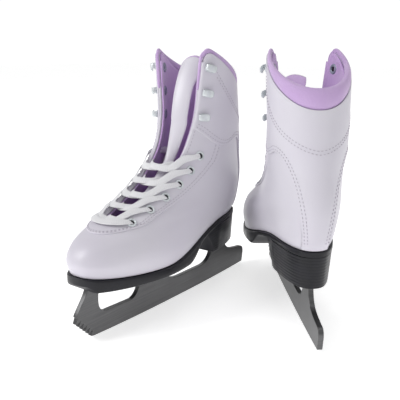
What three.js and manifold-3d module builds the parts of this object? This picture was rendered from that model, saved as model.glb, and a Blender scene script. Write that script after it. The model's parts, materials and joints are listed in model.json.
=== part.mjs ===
// A pair of recreational figure skates: moulded boots, laced up, on stamped steel blades.
// Millimetres, +Z up. Each skate is drawn in its own frame: X runs from the tail of the blade to
// the toe, Y to the wearer's left, and Z up from the ice. The right skate is a mirrored copy.
import * as THREE from 'three';
import { mergeVertices } from 'three/addons/utils/BufferGeometryUtils.js';
import Module from 'manifold-3d';

const wasm = await Module();
wasm.setup();

// ---------------------------------------------------------------- driving dimensions
const GAP = 0.3;                 // running gap between neighbouring pieces

const PAIR = { x: 127, y: 149, yaw: -140 };   // where the right skate's tail stands, and its heading

const BLADE = {
  length: 222, thickness: 4, rocker: 2000, rockerCentre: 108, flat: 12, steps: 4,
  tail: 1, tailHeight: 19, tailRound: 7, web: 17.5,
  picks: 6, pickDepth: 2.6, pickBase: 1.5, pickTop: 19, runEnd: 205,
};
const POSTS = {                  // from the heel forwards: where each post meets the boot
  rear: { back: 36, front: 54 }, middle: { back: 130, front: 152 }, front: { back: 198, front: 209 },
};
const SOLE = { bottom: 41, toeRise: 5, riseFrom: 212, archEdge: 4.5, welt: 1.6, archFrom: 129, archTo: 104 };
const HEEL = { bottom: 37, back: 30, front: 80, breast: 14, half: 22, taper: 2.2, round: 20, steps: 8 };
const LAST = { toe: 217, seatHeel: 66.5, seatBall: 49.5, toeSpring: 2.5, ball: 165, heelEnd: 66 };
const UPPER = { shell: 2.2, overlay: 1.2, lining: 1.5 };
const INSOLE = { thickness: 3.5, inset: 6.2 };
const THROAT = {
  shell: 0.285, stay: 0.335, stayTop: 0.735, half: 9, topHalf: 16.5, stayWidth: 21, outerRound: 0.035,
  innerRound: 0.03, turn: 1 / 3, slant: 0.06, clear: 0.085,
};
const CUFF = { seam: 0.7, dip: 0.03, front: 0.765, stayHalf: 0.09, flare: 0.38, sweep: 2.3, edge: 0.02, lift: 0.9 };
const COLLAR = { back: 14.5, peak: 2.6, taper: 0.62, thickness: 7.5, flapHalf: 24, drop: 0.035, dropOver: 0.07 };
const EYELET = {
  count: 6, first: 0.335, last: 0.655, fromEdge: 9.5, outer: 4.2, hole: 2.3, hub: 2.8, lift: 0.7,
  flange: 0.9, sides: 6,
};
const HOOK = {
  count: 3, first: 0.8, last: 0.945, base: 4.2, lift: 1, plate: 1, rise: 5.5, reach: 5, width: 4.6,
};
const LACE = { radius: 1.1, sides: 5 };
const TONGUE = {
  thickness: 4, inner: -0.5, outer: 21, past: 6, start: 0.322, split: 0.73, under: 3.9,
  top: 205, topX: 84, topInner: -6, topOuter: 14.2, bow: 4.5, wrap: 3, crown: 0.12, lean: { left: 0, right: 68 },
};

// ---------------------------------------------------------------- small helpers
const clamp01 = (t) => Math.min(1, Math.max(0, t));
const smooth = (t) => clamp01(t) ** 2 * (3 - 2 * clamp01(t));
const mix = (a, b, t) => a + (b - a) * t;

// A smooth curve through evenly spaced values, t from 0 to 1.
function through(values, t) {
  const last = values.length - 1;
  const at = clamp01(t) * last;
  const i = Math.min(Math.floor(at), last - 1);
  const f = at - i;
  const [b, c] = [values[i], values[i + 1]];
  const a = i > 0 ? values[i - 1] : 2 * b - c;
  const d = i + 2 <= last ? values[i + 2] : 2 * c - b;
  return b + 0.5 * f * (c - a + f * (2 * a - 5 * b + 4 * c - d + f * (3 * (b - c) + d - a)));
}

// Where a rising function of a number between lo and hi reaches a goal.
function solve(f, goal, lo, hi) {
  let [a, b] = [lo, hi];
  for (let i = 0; i < 40; i += 1) {
    const m = (a + b) / 2;
    if (f(m) < goal) a = m; else b = m;
  }
  return (a + b) / 2;
}

// ---------------------------------------------------------------- the boot's outer surface
// Slices fan out from the heel: each runs from a point on the back line to one on the front line,
// and v counts them from the sole (0) to the collar (1). s runs round a slice, from the middle of
// the heel (0) to the middle of the front (1 or -1).
const BACK_X = [30, 26, 24, 23, 22.5, 23.5, 26, 29, 32, 35, 38];
const BACK_Z = [66.5, 74, 82, 90, 98, 108, 121, 137, 153, 168, 183];
const FRONT_X = [217, 219.5, 213, 197, 176, 155, 136, 120, 113, 114, 117];
const FRONT_Z = [52, 62, 72.5, 81.5, 90.5, 101, 115, 133, 157, 188, 221];
const HALF_HEEL = [22.5, 24.5, 25.5, 26, 26.5, 26.5, 26.5, 27, 27.5, 28, 28.5];
const HALF_WAIST = [27, 29, 29.5, 29.5, 29, 28, 28, 28, 28.5, 29, 29.5];
const HALF_BALL = [35.5, 37.5, 36, 32, 28, 27, 27, 27.5, 28, 28.5, 29];
const ROUND = [2.4, 2.4, 2.4, 2.4, 2.3, 2.2, 2.1, 2.1, 2.1, 2.1, 2.1];
const SOLE_FADE = 0.4;           // the slice where the sole's curve has died out

// Height of the top of the sole unit.
function seat(x) {
  const rise = smooth((LAST.ball - 5 - x) / (LAST.ball - 5 - LAST.heelEnd));
  const spring = LAST.toeSpring * Math.max(0, (x - LAST.ball) / (LAST.toe - LAST.ball)) ** 2;
  return mix(LAST.seatBall, LAST.seatHeel, rise) + spring;
}

function halfWidth(t, v) {
  const [heel, waist, ball] = [through(HALF_HEEL, v), through(HALF_WAIST, v), through(HALF_BALL, v)];
  const wide = through([heel, waist, ball, ball * 0.88], t);
  const n = through(ROUND, v);
  return wide * Math.max(0, 1 - Math.abs(2 * t - 1) ** n) ** (1 / n);
}

function surface(s, v) {
  const t = (1 - Math.cos(Math.PI * Math.abs(s))) / 2;
  const x = mix(through(BACK_X, v), through(FRONT_X, v), t);
  const flat = mix(through(BACK_Z, v), through(FRONT_Z, v), t);
  const chord = mix(BACK_Z[0], FRONT_Z[0], (x - BACK_X[0]) / (FRONT_X[0] - BACK_X[0]));
  const fade = Math.max(0, 1 - v / SOLE_FADE) ** 2;
  const y = Math.sign(s) * halfWidth(t, v);
  return new THREE.Vector3(x, y, flat + (seat(x) - chord) * fade);
}

function normal(s, v) {
  const e = 0.004;
  const front = Math.abs(s) > 1 - e;
  const along = front ? surface(-1 + e, v).sub(surface(1 - e, v)) : surface(s + e, v).sub(surface(s - e, v));
  const up = surface(s, Math.min(1, v + e)).sub(surface(s, Math.max(0, v - e)));
  const n = up.cross(along).normalize();
  return front ? n.set(n.x, 0, n.z).normalize() : n;
}

function point(s, v, offset) {
  return surface(s, v).addScaledVector(normal(s, v), offset);
}

// The s, between a start and the front, where the surface has come in to a half width.
function atHalf(half, v) {
  const from = 0.55;
  if (halfWidth((1 - Math.cos(Math.PI * from)) / 2, v) <= half) return from;
  return solve((s) => -halfWidth((1 - Math.cos(Math.PI * s)) / 2, v), -half, from, 1);
}

// A quarter ellipse, from 0 to 1 as t does.
const arc = (t) => Math.sqrt(1 - (1 - clamp01(t)) ** 2);

// Half the gap between the two facings, and the gap's edge on a slice.
function facingHalf(v) {
  if (v <= THROAT.stay) return 0;
  const open = THROAT.half * arc((v - THROAT.stay) / THROAT.innerRound);
  const laced = mix(open, Math.max(open, THROAT.topHalf), clamp01((v - THROAT.stay) / (THROAT.stayTop - THROAT.stay)));
  return mix(laced, COLLAR.flapHalf, clamp01((v - THROAT.stayTop) / (1 - THROAT.stayTop)));
}
const facingEdge = (v) => atHalf(facingHalf(v), v);

// The outer boundary of the eyelet stay.
function stayEdge(v) {
  if (v <= THROAT.shell) return 1;
  const wide = arc((v - THROAT.shell) / THROAT.outerRound);
  const half = Math.max(facingHalf(v), THROAT.half) + THROAT.stayWidth * 0.62;
  return atHalf(half * wide, v) - 0.03 * wide;
}

// Height of the top edge below the collar roll, as a slice number.
const collarSide = facingEdge(1);
function rollHeight(s) {
  return mix(COLLAR.peak, COLLAR.back, Math.cos((Math.PI / 2) * clamp01(Math.abs(s) / COLLAR.taper)) ** 1.5);
}
const rim = (s) => 1 - COLLAR.drop * smooth((Math.abs(s) - collarSide + COLLAR.dropOver) / COLLAR.dropOver);
function topEdge(s) {
  const slice = surface(s, 1).distanceTo(surface(s, 0.9)) / 0.1;
  return rim(s) - (rollHeight(s) + 2 * GAP) / slice;
}

// ---------------------------------------------------------------- making closed bodies
function body(points, faces) {
  const geometry = new THREE.BufferGeometry();
  geometry.setAttribute('position', new THREE.Float32BufferAttribute(points.flatMap((p) => p.toArray()), 3));
  geometry.setIndex(faces);
  const welded = mergeVertices(geometry, 1e-3);
  const index = Array.from(welded.getIndex().array);
  const kept = [];
  for (let i = 0; i < index.length; i += 3) {
    const [a, b, c] = index.slice(i, i + 3);
    if (a !== b && b !== c && a !== c) kept.push(a, b, c);
  }
  welded.setIndex(kept);
  return welded;
}

function solid(geometry) {
  const bare = geometry.clone();
  bare.deleteAttribute('normal');
  bare.deleteAttribute('uv');
  const welded = mergeVertices(bare, 1e-3);
  return new wasm.Manifold(new wasm.Mesh({
    numProp: 3,
    vertProperties: new Float32Array(welded.getAttribute('position').array),
    triVerts: new Uint32Array(welded.getIndex().array),
  }));
}

// The biggest of the separate bodies that a cut has left.
function largest(manifold) {
  return manifold.decompose().reduce((a, b) => (b.volume() > a.volume() ? b : a));
}

function geometryOf(manifold) {
  const mesh = manifold.getMesh();
  const geometry = new THREE.BufferGeometry();
  geometry.setAttribute('position', new THREE.BufferAttribute(mesh.vertProperties, 3));
  geometry.setIndex(new THREE.BufferAttribute(mesh.triVerts, 1));
  return geometry;
}

// A wall on a grid: place(i, j, layer) gives its outer (0) and inner (1) points. Columns run
// anticlockwise seen from above and rows upwards. joined(j) says that a row's two ends meet.
function wall(columns, rows, place, joined = () => false) {
  const points = [];
  for (let layer = 0; layer < 2; layer += 1) {
    for (let j = 0; j <= rows; j += 1) {
      for (let i = 0; i <= columns; i += 1) points.push(place(i, j, layer));
    }
  }
  const id = (i, j, layer) => (layer * (rows + 1) + j) * (columns + 1) + i;
  const faces = [];
  const quad = (a, b, c, d) => faces.push(a, b, c, a, c, d);
  for (let j = 0; j < rows; j += 1) {
    for (let i = 0; i < columns; i += 1) {
      quad(id(i, j, 0), id(i + 1, j, 0), id(i + 1, j + 1, 0), id(i, j + 1, 0));
      quad(id(i, j, 1), id(i, j + 1, 1), id(i + 1, j + 1, 1), id(i + 1, j, 1));
    }
    if (!joined(j + 1)) {
      quad(id(0, j, 1), id(0, j, 0), id(0, j + 1, 0), id(0, j + 1, 1));
      quad(id(columns, j, 0), id(columns, j, 1), id(columns, j + 1, 1), id(columns, j + 1, 0));
    }
  }
  for (let i = 0; i < columns; i += 1) {
    quad(id(i, 0, 1), id(i + 1, 0, 1), id(i + 1, 0, 0), id(i, 0, 0));
    quad(id(i, rows, 0), id(i + 1, rows, 0), id(i + 1, rows, 1), id(i, rows, 1));
  }
  return body(points, faces);
}

// A flat slab between two heights inside an outline given as half widths along X.
function slab(stations, half, top, bottom) {
  const points = [];
  const faces = [];
  for (const x of stations) {
    const y = half(x);
    points.push(new THREE.Vector3(x, y, top(x)), new THREE.Vector3(x, -y, top(x)));
    points.push(new THREE.Vector3(x, -y, bottom(x)), new THREE.Vector3(x, y, bottom(x)));
  }
  const quad = (a, b, c, d) => faces.push(a, b, c, a, c, d);
  for (let k = 0; k + 1 < stations.length; k += 1) {
    const [a, b] = [4 * k, 4 * (k + 1)];
    for (let side = 0; side < 4; side += 1) {
      const next = (side + 1) % 4;
      quad(a + side, a + next, b + next, b + side);
    }
  }
  const end = 4 * (stations.length - 1);
  quad(3, 2, 1, 0);
  quad(end, end + 1, end + 2, end + 3);
  return body(points, faces);
}

// ---------------------------------------------------------------- materials
const finish = (color, roughness, metalness = 0) => new THREE.MeshStandardMaterial({ color, roughness, metalness });
const white = finish(0xf2f0f4, 0.38);
const lilac = finish(0xc4a6d8, 0.75);
const black = finish(0x17171a, 0.42);
const steel = finish(0x5c5e60, 0.4, 1);
const silver = finish(0xd9dbe0, 0.3, 0.9);
const cotton = finish(0xf4f3f2, 0.85);
const board = finish(0xcfc8bd, 0.8);

// ---------------------------------------------------------------- blade
function bladeGeometry() {
  const { length, rocker, rockerCentre, steps, tail, tailHeight, tailRound, web } = BLADE;
  const low = (x) => rocker - Math.sqrt(rocker ** 2 - Math.max(0, Math.abs(x - rockerCentre) - BLADE.flat) ** 2);
  const outline = new THREE.Shape();
  outline.moveTo(tail, tailHeight - tailRound);
  for (const [from, to] of [[tail + 2, rockerCentre - BLADE.flat], [rockerCentre + BLADE.flat, BLADE.runEnd]]) {
    for (let i = 0; i <= steps; i += 1) {
      const x = mix(from, to, i / steps);
      outline.lineTo(x, low(x));
    }
  }
  const foot = new THREE.Vector2(BLADE.runEnd, low(BLADE.runEnd));
  const tip = new THREE.Vector2(length, BLADE.pickTop);
  for (let i = 0; i < BLADE.picks; i += 1) {
    const out = foot.clone().lerp(tip, (i + 0.55) / BLADE.picks);
    const back = foot.clone().lerp(tip, (i + 1) / BLADE.picks);
    const away = new THREE.Vector2(tip.y - foot.y, foot.x - tip.x).normalize();
    outline.lineTo(out.x + away.x * BLADE.pickBase, out.y + away.y * BLADE.pickBase);
    outline.lineTo(back.x - away.x * (BLADE.pickDepth - BLADE.pickBase), back.y - away.y * (BLADE.pickDepth - BLADE.pickBase));
  }
  const soleAt = SOLE.bottom - GAP;
  const heelAt = HEEL.bottom - GAP;
  outline.lineTo(length - 1, BLADE.pickTop + 3);
  outline.bezierCurveTo(length - 4, 28, POSTS.front.front + 2, 34, POSTS.front.front, soleAt);
  outline.lineTo(POSTS.front.back, soleAt);
  outline.bezierCurveTo(POSTS.front.back + 1, 30, 202, 20, 192, web);
  outline.lineTo(164, web - 1);
  outline.bezierCurveTo(157, web, POSTS.middle.front, 24, POSTS.middle.front, soleAt);
  outline.lineTo(POSTS.middle.back, soleAt);
  outline.bezierCurveTo(POSTS.middle.back - 2, 26, 118, web + 1, 104, web);
  outline.lineTo(72, web);
  outline.bezierCurveTo(62, web, POSTS.rear.front, 22, POSTS.rear.front, heelAt);
  outline.lineTo(POSTS.rear.back, heelAt);
  outline.bezierCurveTo(POSTS.rear.back - 2, 22, 24, tailHeight + 2, tail + tailRound, tailHeight);
  outline.quadraticCurveTo(tail, tailHeight, tail, tailHeight - tailRound);
  const plate = new THREE.ExtrudeGeometry(outline, { depth: BLADE.thickness, bevelEnabled: false, curveSegments: 5 });
  plate.translate(0, 0, -BLADE.thickness / 2);
  plate.rotateX(Math.PI / 2);
  return geometryOf(solid(plate));
}

// ---------------------------------------------------------------- sole unit, heel and insole
function soleBottom(x) {
  const arch = smooth((SOLE.archFrom - x) / (SOLE.archFrom - SOLE.archTo));
  const toe = SOLE.toeRise * smooth((x - SOLE.riseFrom) / (LAST.toe - SOLE.riseFrom));
  return mix(SOLE.bottom + toe, seat(x) - SOLE.archEdge, arch);
}

const outlineSteps = (count, from, to) => Array.from({ length: count + 1 }, (_, i) => mix(from, to, (1 - Math.cos((Math.PI * i) / count)) / 2));

function footHalf(x, margin) {
  const [from, to] = [BACK_X[0] - margin, FRONT_X[0] + margin];
  const t = clamp01((x - from) / (to - from));
  const inner = halfWidth(t, 0);
  return inner > 0 ? inner + margin * Math.min(1, inner / 8) : 0;
}

function outsoleGeometry() {
  const steps = outlineSteps(20, BACK_X[0] - SOLE.welt, FRONT_X[0] + SOLE.welt);
  return slab(steps, (x) => footHalf(x, SOLE.welt), (x) => seat(x) - GAP, soleBottom);
}

function insoleGeometry() {
  const inset = INSOLE.inset;
  const steps = outlineSteps(14, BACK_X[0] + inset, FRONT_X[0] - inset);
  return slab(steps, (x) => footHalf(x, -inset), (x) => seat(x) + INSOLE.thickness, (x) => seat(x));
}

function heelGeometry() {
  const { bottom, back, front, breast, half, taper, round, steps } = HEEL;
  const levels = 3;
  const points = [];
  const faces = [];
  const ring = [];
  for (let i = 0; i <= steps; i += 1) {
    const a = (Math.PI * i) / steps;
    ring.push([back + round - round * Math.sin(a), half * Math.cos(a)]);
  }
  const around = [[front, half - 3], ...ring, [front, -(half - 3)]];
  around.forEach(([x, y]) => {
    const forward = clamp01((x - back) / (front - back));
    for (let k = 0; k <= levels; k += 1) {
      const up = k / levels;
      const px = x - taper * (1 - forward) * (up - 1) * 0.6 + (forward > 0.9 ? breast * up ** 1.5 : 0);
      const shrink = 1 - (taper / half) * (1 - up);
      const top = soleBottom(px) - GAP;
      points.push(new THREE.Vector3(px, y * shrink, mix(bottom, top, up)));
    }
  });
  const n = around.length;
  const id = (i, k) => (i % n) * (levels + 1) + k;
  for (let i = 0; i < n; i += 1) {
    for (let k = 0; k < levels; k += 1) {
      faces.push(id(i, k), id(i + 1, k), id(i + 1, k + 1), id(i, k), id(i + 1, k + 1), id(i, k + 1));
    }
  }
  for (let i = 0; i + 1 < n / 2; i += 1) {
    const [a, b, c, d] = [i, i + 1, n - 2 - i, n - 1 - i];
    for (const [k, turned] of [[0, true], [levels, false]]) {
      const quad = [id(a, k), id(b, k), id(c, k), id(d, k)];
      const tris = b === c ? [[0, 1, 3]] : [[0, 1, 2], [0, 2, 3]];
      tris.forEach((t) => faces.push(...(turned ? t.map((q) => quad[q]).reverse() : t.map((q) => quad[q]))));
    }
  }
  return body(points, faces);
}

// ---------------------------------------------------------------- shell, lining, stay and cuff
const SHELL_ROWS = [0.008, 0.1, 0.2, 0.3, 0.4, 0.5, 0.6, 0.7, 0.8, 0.9, 1];

const SHELL_COLUMNS = 18;

// A wall all round the foot and ankle, between two distances from the outer surface, open where
// the eyelet stay and the gap between the facings are.
function sleeve(outer, inner) {
  const place = (i, j, layer) => {
    const s = 1 - (2 * i) / SHELL_COLUMNS;
    const v = SHELL_ROWS[j] * mix(1, topEdge(s), smooth((SHELL_ROWS[j] - 0.6) / 0.4));
    return point(s, v, layer === 0 ? outer : inner);
  };
  const ring = solid(wall(SHELL_COLUMNS, SHELL_ROWS.length - 1, place, () => true));
  return largest(ring.subtract(solid(stayWall(3, -7, THROAT.clear))).subtract(solid(frontGap(6, -12))));
}

// What the gap between the facings takes out of a wall, up past the collar.
function frontGap(top, bottom) {
  const [columns, rows, above] = [6, 9, 12];
  const place = (i, j, layer) => {
    const share = (2 * i) / columns - 1;
    const v = mix(THROAT.stay + 0.004, 1, Math.min(1, j / (rows - 1)));
    const s = share === 0 ? 1 : Math.sign(share) * mix(1, facingEdge(v), Math.abs(share));
    const p = point(s, v, layer === 0 ? top : bottom);
    return j === rows ? p.setZ(p.z + above) : p;
  };
  return wall(columns, rows, place);
}

function shellGeometry() {
  return geometryOf(sleeve(0, -UPPER.shell));
}

function liningGeometry() {
  const outer = -UPPER.shell - 2 * GAP;
  return geometryOf(largest(sleeve(outer, outer - UPPER.lining).subtract(sleeve(GAP, -UPPER.shell - GAP))));
}

// The eyelet stay is a U round the throat. share runs across it, from the facing's edge outwards.
function stayPoint(way, share, offset) {
  const side = Math.sign(way);
  const along = Math.abs(way);
  const round = 1 - Math.cos((Math.PI / 2) * Math.min(1, along / THROAT.turn));
  const straight = Math.max(0, along - THROAT.turn) / (1 - THROAT.turn);
  const inner = mix(THROAT.stay + THROAT.innerRound * round, THROAT.stayTop, straight);
  const outer = mix(THROAT.shell + THROAT.outerRound * round, THROAT.stayTop - THROAT.slant, straight);
  const v = mix(inner, outer, share);
  const edgeIn = facingEdge(inner);
  const edgeOut = stayEdge(outer);
  const s = mix(edgeIn, edgeOut, share);
  return point(side === 0 ? 1 : side * Math.min(s, 1), v, offset);
}

function holeAt(index, side, radius) {
  const { position, out } = eyeletPlace(index, side);
  const drill = new THREE.CylinderGeometry(radius, radius, 14, EYELET.sides);
  drill.rotateX(Math.PI / 2);
  drill.applyQuaternion(new THREE.Quaternion().setFromUnitVectors(new THREE.Vector3(0, 0, 1), out));
  drill.translate(...position.toArray());
  return drill;
}

// grow widens it past its outer edge and closes the throat, to cut a place for it.
function stayWall(top, bottom, grow = 0) {
  const steps = 18;
  const across = 2;
  const place = (i, j, layer) => {
    const end = i === 0 || i === steps ? 1 + grow : 1;
    const share = [1 + grow, 0.5, -grow][j];
    return stayPoint(((2 * i) / steps - 1) * end, share, layer === 0 ? top : bottom);
  };
  return wall(steps, across, place);
}

function stayGeometry() {
  let stay = solid(stayWall(UPPER.overlay, -UPPER.shell));
  for (let k = 0; k < EYELET.count; k += 1) {
    for (const side of [1, -1]) stay = stay.subtract(solid(holeAt(k, side, EYELET.hub + 2 * GAP)));
  }
  return geometryOf(stay);
}

// Lower edge of the ankle cuff: a curved seam at the sides that runs down the backstay.
function cuffLow(s) {
  const side = Math.abs(s);
  const dip = CUFF.dip * Math.sin(Math.PI * clamp01((side - CUFF.flare) / (facingEdge(CUFF.front) - CUFF.flare)));
  const seam = mix(CUFF.seam, CUFF.front, smooth((side - 0.45) / 0.3)) - dip;
  const out = 1 - clamp01((side - CUFF.stayHalf) / (CUFF.flare - CUFF.stayHalf));
  return mix(CUFF.edge, seam, (1 - out ** CUFF.sweep) ** (1 / CUFF.sweep));
}

function cuffGeometry() {
  const curve = [0.02, 0.07, 0.16, 0.3, 0.5, 0.75, 1].map((t) => mix(CUFF.stayHalf, CUFF.flare, t));
  const sides = [CUFF.stayHalf / 2, CUFF.stayHalf, ...curve, 0.46, 0.54, 0.62, 0.7];
  const columns = [...[...sides].reverse(), 0, ...sides.map((s) => -s)];
  const rows = 5;
  const reach = sides[sides.length - 1];
  const place = (i, j, layer) => {
    const up = j / rows;
    let s = columns[i];
    let v = mix(cuffLow(s), topEdge(s), up);
    const limit = facingEdge(v) - 0.004;
    s = Math.sign(s) * Math.min(Math.abs(s), Math.abs(s) * mix(1, limit / reach, smooth(Math.abs(s) / reach)));
    v = mix(cuffLow(s), topEdge(s), up);
    return point(s, v, CUFF.lift + (layer === 0 ? UPPER.overlay : 0));
  };
  return wall(columns.length - 1, rows, place);
}

// ---------------------------------------------------------------- collar roll
function collarGeometry() {
  const [steps, sides] = [22, 8];
  const points = [];
  const faces = [];
  const reach = collarSide - 0.006;
  for (let i = 0; i <= steps; i += 1) {
    const s = mix(reach, -reach, i / steps);
    const high = rollHeight(s);
    const out = normal(s, 1);
    const up = surface(s, rim(s)).sub(surface(s, rim(s) - 0.05)).normalize();
    const middle = surface(s, rim(s)).addScaledVector(up, -high / 2 + 2 * GAP).addScaledVector(out, -1.6);
    for (let k = 0; k < sides; k += 1) {
      const a = (2 * Math.PI * k) / sides;
      const thick = mix(0.55, 1, (high - COLLAR.peak) / (COLLAR.back - COLLAR.peak));
      points.push(middle.clone().addScaledVector(out, (COLLAR.thickness / 2) * thick * Math.cos(a))
        .addScaledVector(up, (high / 2) * Math.sin(a)));
    }
  }
  const id = (i, k) => i * sides + (k % sides);
  for (let i = 0; i < steps; i += 1) {
    for (let k = 0; k < sides; k += 1) {
      faces.push(id(i, k), id(i + 1, k), id(i + 1, k + 1), id(i, k), id(i + 1, k + 1), id(i, k + 1));
    }
  }
  for (let k = 1; k + 1 < sides; k += 1) {
    faces.push(id(0, 0), id(0, k), id(0, k + 1), id(steps, 0), id(steps, k + 1), id(steps, k));
  }
  return body(points, faces);
}

// ---------------------------------------------------------------- tongue
function tongueBaseGeometry() {
  const [columns, rows] = [8, 9];
  const outer = -UPPER.shell - TONGUE.under;
  const place = (i, j, layer) => {
    const v = mix(TONGUE.start, TONGUE.split, j / rows);
    const reach = Math.min(TONGUE.outer, facingHalf(v) + TONGUE.past) * smooth((v - TONGUE.start + 0.06) / 0.06);
    const y = mix(TONGUE.inner, reach, i / columns);
    const s = Math.abs(y) < 1e-9 ? 1 : Math.sign(y) * atHalf(Math.abs(y), v);
    return point(s, v, layer === 0 ? outer : outer - TONGUE.thickness);
  };
  return wall(columns, rows, place);
}

// The free top of the tongue stands up from the fold line, a little curved across its width, or
// leans forward over the laces by an angle in degrees.
const fold = point(1, TONGUE.split, -UPPER.shell - TONGUE.under - TONGUE.thickness / 2);
function tongueTopGeometry(lean) {
  const [columns, rows] = [6, 6];
  const foot = new THREE.Vector3(fold.x, 0, fold.z + TONGUE.thickness * 0.95);
  const head = new THREE.Vector3(TONGUE.topX, 0, TONGUE.top);
  const up = head.clone().sub(foot);
  const out = new THREE.Vector3(up.z, 0, -up.x).normalize();
  const place = (i, j, layer) => {
    const across = i / columns;
    const rise = j / rows;
    const corner = (2 * across - 1) ** 2;
    const bow = TONGUE.bow * Math.sin(Math.PI * rise) - TONGUE.wrap * across ** 2;
    const p = foot.clone().addScaledVector(up, rise * (1 - TONGUE.crown * corner * smooth((rise - 0.6) / 0.4)));
    p.addScaledVector(out, bow + (layer === 0 ? 0.5 : -0.5) * TONGUE.thickness);
    return p.setY(mix(mix(TONGUE.inner, TONGUE.topInner, rise), TONGUE.topOuter, across));
  };
  const upright = wall(columns, rows, place);
  return upright.translate(-fold.x, 0, -fold.z).rotateY(THREE.MathUtils.degToRad(lean)).translate(fold.x, 0, fold.z);
}

// ---------------------------------------------------------------- eyelets, hooks and lace
const eyeletSlice = (index) => mix(EYELET.first, EYELET.last, index / (EYELET.count - 1));

function eyeletPlace(index, side) {
  const v = eyeletSlice(index);
  const s = side * atHalf(Math.max(facingHalf(v), THROAT.half) + EYELET.fromEdge * 0.86, v);
  return { position: point(s, v, UPPER.overlay), out: normal(s, v), s, v };
}

function standing(geometry, position, out, up) {
  const z = out.clone().normalize();
  const x = up.clone().cross(z).normalize();
  const y = z.clone().cross(x);
  const frame = new THREE.Matrix4().makeBasis(x, y, z).setPosition(position);
  geometry.applyMatrix4(frame);
  return geometry;
}

function eyeletGeometry(index, side) {
  const { position, out } = eyeletPlace(index, side);
  const { outer, hole, hub, lift, flange, sides } = EYELET;
  const deep = UPPER.shell + UPPER.overlay;
  const top = lift + flange;
  const ring = [[hole, -deep], [hub, -deep], [hub, lift], [outer, lift], [outer - 0.5, top], [hole, top], [hole, -deep]];
  const lathe = new THREE.LatheGeometry(ring.map(([r, z]) => new THREE.Vector2(r, z)), sides);
  lathe.rotateX(Math.PI / 2);
  return geometryOf(solid(standing(lathe, position, out, new THREE.Vector3(0, 0, 1))));
}

function hookGeometry(index, side) {
  const v = mix(HOOK.first, HOOK.last, index / (HOOK.count - 1));
  const s = side * (facingEdge(v) - 0.062);
  const out = normal(s, v);
  const position = point(s, v, UPPER.overlay + HOOK.lift);
  const { base, plate, rise, reach, width } = HOOK;
  const profile = new THREE.Shape();
  profile.moveTo(-base, 0);
  profile.lineTo(base, 0);
  profile.lineTo(base, plate);
  profile.lineTo(-base + 1.4 + plate, plate);
  profile.lineTo(-base + 1.4 + plate, rise - plate);
  profile.lineTo(-base + reach + 1.5, rise - plate);
  profile.lineTo(-base + reach + 1.5, rise);
  profile.lineTo(-base + 1.4, rise);
  profile.lineTo(-base, rise - 1.4);
  const hook = new THREE.ExtrudeGeometry(profile, { depth: width, bevelEnabled: false });
  hook.translate(0, 0, -width / 2);
  hook.rotateX(Math.PI / 2);
  const back = surface(s, v).sub(surface(s + side * 0.02, v)).normalize();
  const z = out.clone();
  const y = z.clone().cross(back).normalize();
  const x = y.clone().cross(z);
  hook.applyMatrix4(new THREE.Matrix4().makeBasis(x, y, z).setPosition(position));
  return geometryOf(solid(hook));
}

// The lace's route: down one side in turns, across the bottom, and back up the other side. Every
// run enters an eyelet from outside, comes out under the facing's edge and crosses the gap.
function laceRoute() {
  const over = UPPER.overlay + EYELET.lift + EYELET.flange + 2 * GAP + LACE.radius;
  const under = -UPPER.shell - GAP - LACE.radius;
  const nearEye = (index, side, offset) => {
    const { s, v } = eyeletPlace(index, side);
    return point(s, v, offset);
  };
  const inGap = (index, side, share, offset) => {
    const v = mix(eyeletSlice(index), eyeletSlice(index + 1), 0.5 - side * share * 0.22);
    const half = Math.abs(share) * facingHalf(v);
    return point(share === 0 ? 1 : Math.sign(share) * atHalf(half, v), v, offset);
  };
  const tuckedEnd = (side) => {
    const { s, v } = eyeletPlace(EYELET.count - 1, side);
    const inside = -UPPER.shell - UPPER.lining - 6 * GAP - LACE.radius;
    return [[0.11, 0.13, -1.2], [0.1, 0.07, -0.8], [0.09, 0.02, -0.4], [0.05, 0, 0]].map(
      ([back, down, deeper]) => point(side * (Math.abs(s) - back), v - down, inside + deeper),
    );
  };
  // From the upper eyelet on this side, over its facing, and under the other to the lower eyelet.
  const cross = (index, side, high) => {
    const centre = high ? LACE.radius + 0.9 : -LACE.radius - 0.9;
    return [
      nearEye(index + 1, side, over),
      inGap(index, side, side * 0.9, over - 0.5), inGap(index, side, side * 0.45, high ? over - 0.8 : centre),
      inGap(index, side, 0, centre), inGap(index, side, -side * 0.45, high ? centre : under + 0.4),
      inGap(index, side, -side * 0.9, under),
      nearEye(index, -side, under), nearEye(index, -side, over),
    ];
  };
  const run = (start) => {
    const part = [...tuckedEnd(start), nearEye(EYELET.count - 1, start, under)];
    let side = start;
    for (let i = EYELET.count - 2; i >= 0; i -= 1) {
      part.push(...cross(i, side, start > 0));
      side = -side;
    }
    return part;
  };
  const bar = [0.7, 0, -0.7].map((share) => {
    const { s, v } = eyeletPlace(0, 1);
    const half = Math.abs(share) * surface(s, v).y;
    return point(share === 0 ? 1 : Math.sign(share) * atHalf(half, v), v, over + GAP);
  });
  const end = run(1);
  const turned = Math.sign(end[end.length - 1].y) > 0 ? bar : bar.reverse();
  const joined = [...end, ...turned, ...run(-1).reverse()];
  return joined.filter((p, i) => i === 0 || p.distanceTo(joined[i - 1]) > 0.5);
}

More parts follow.
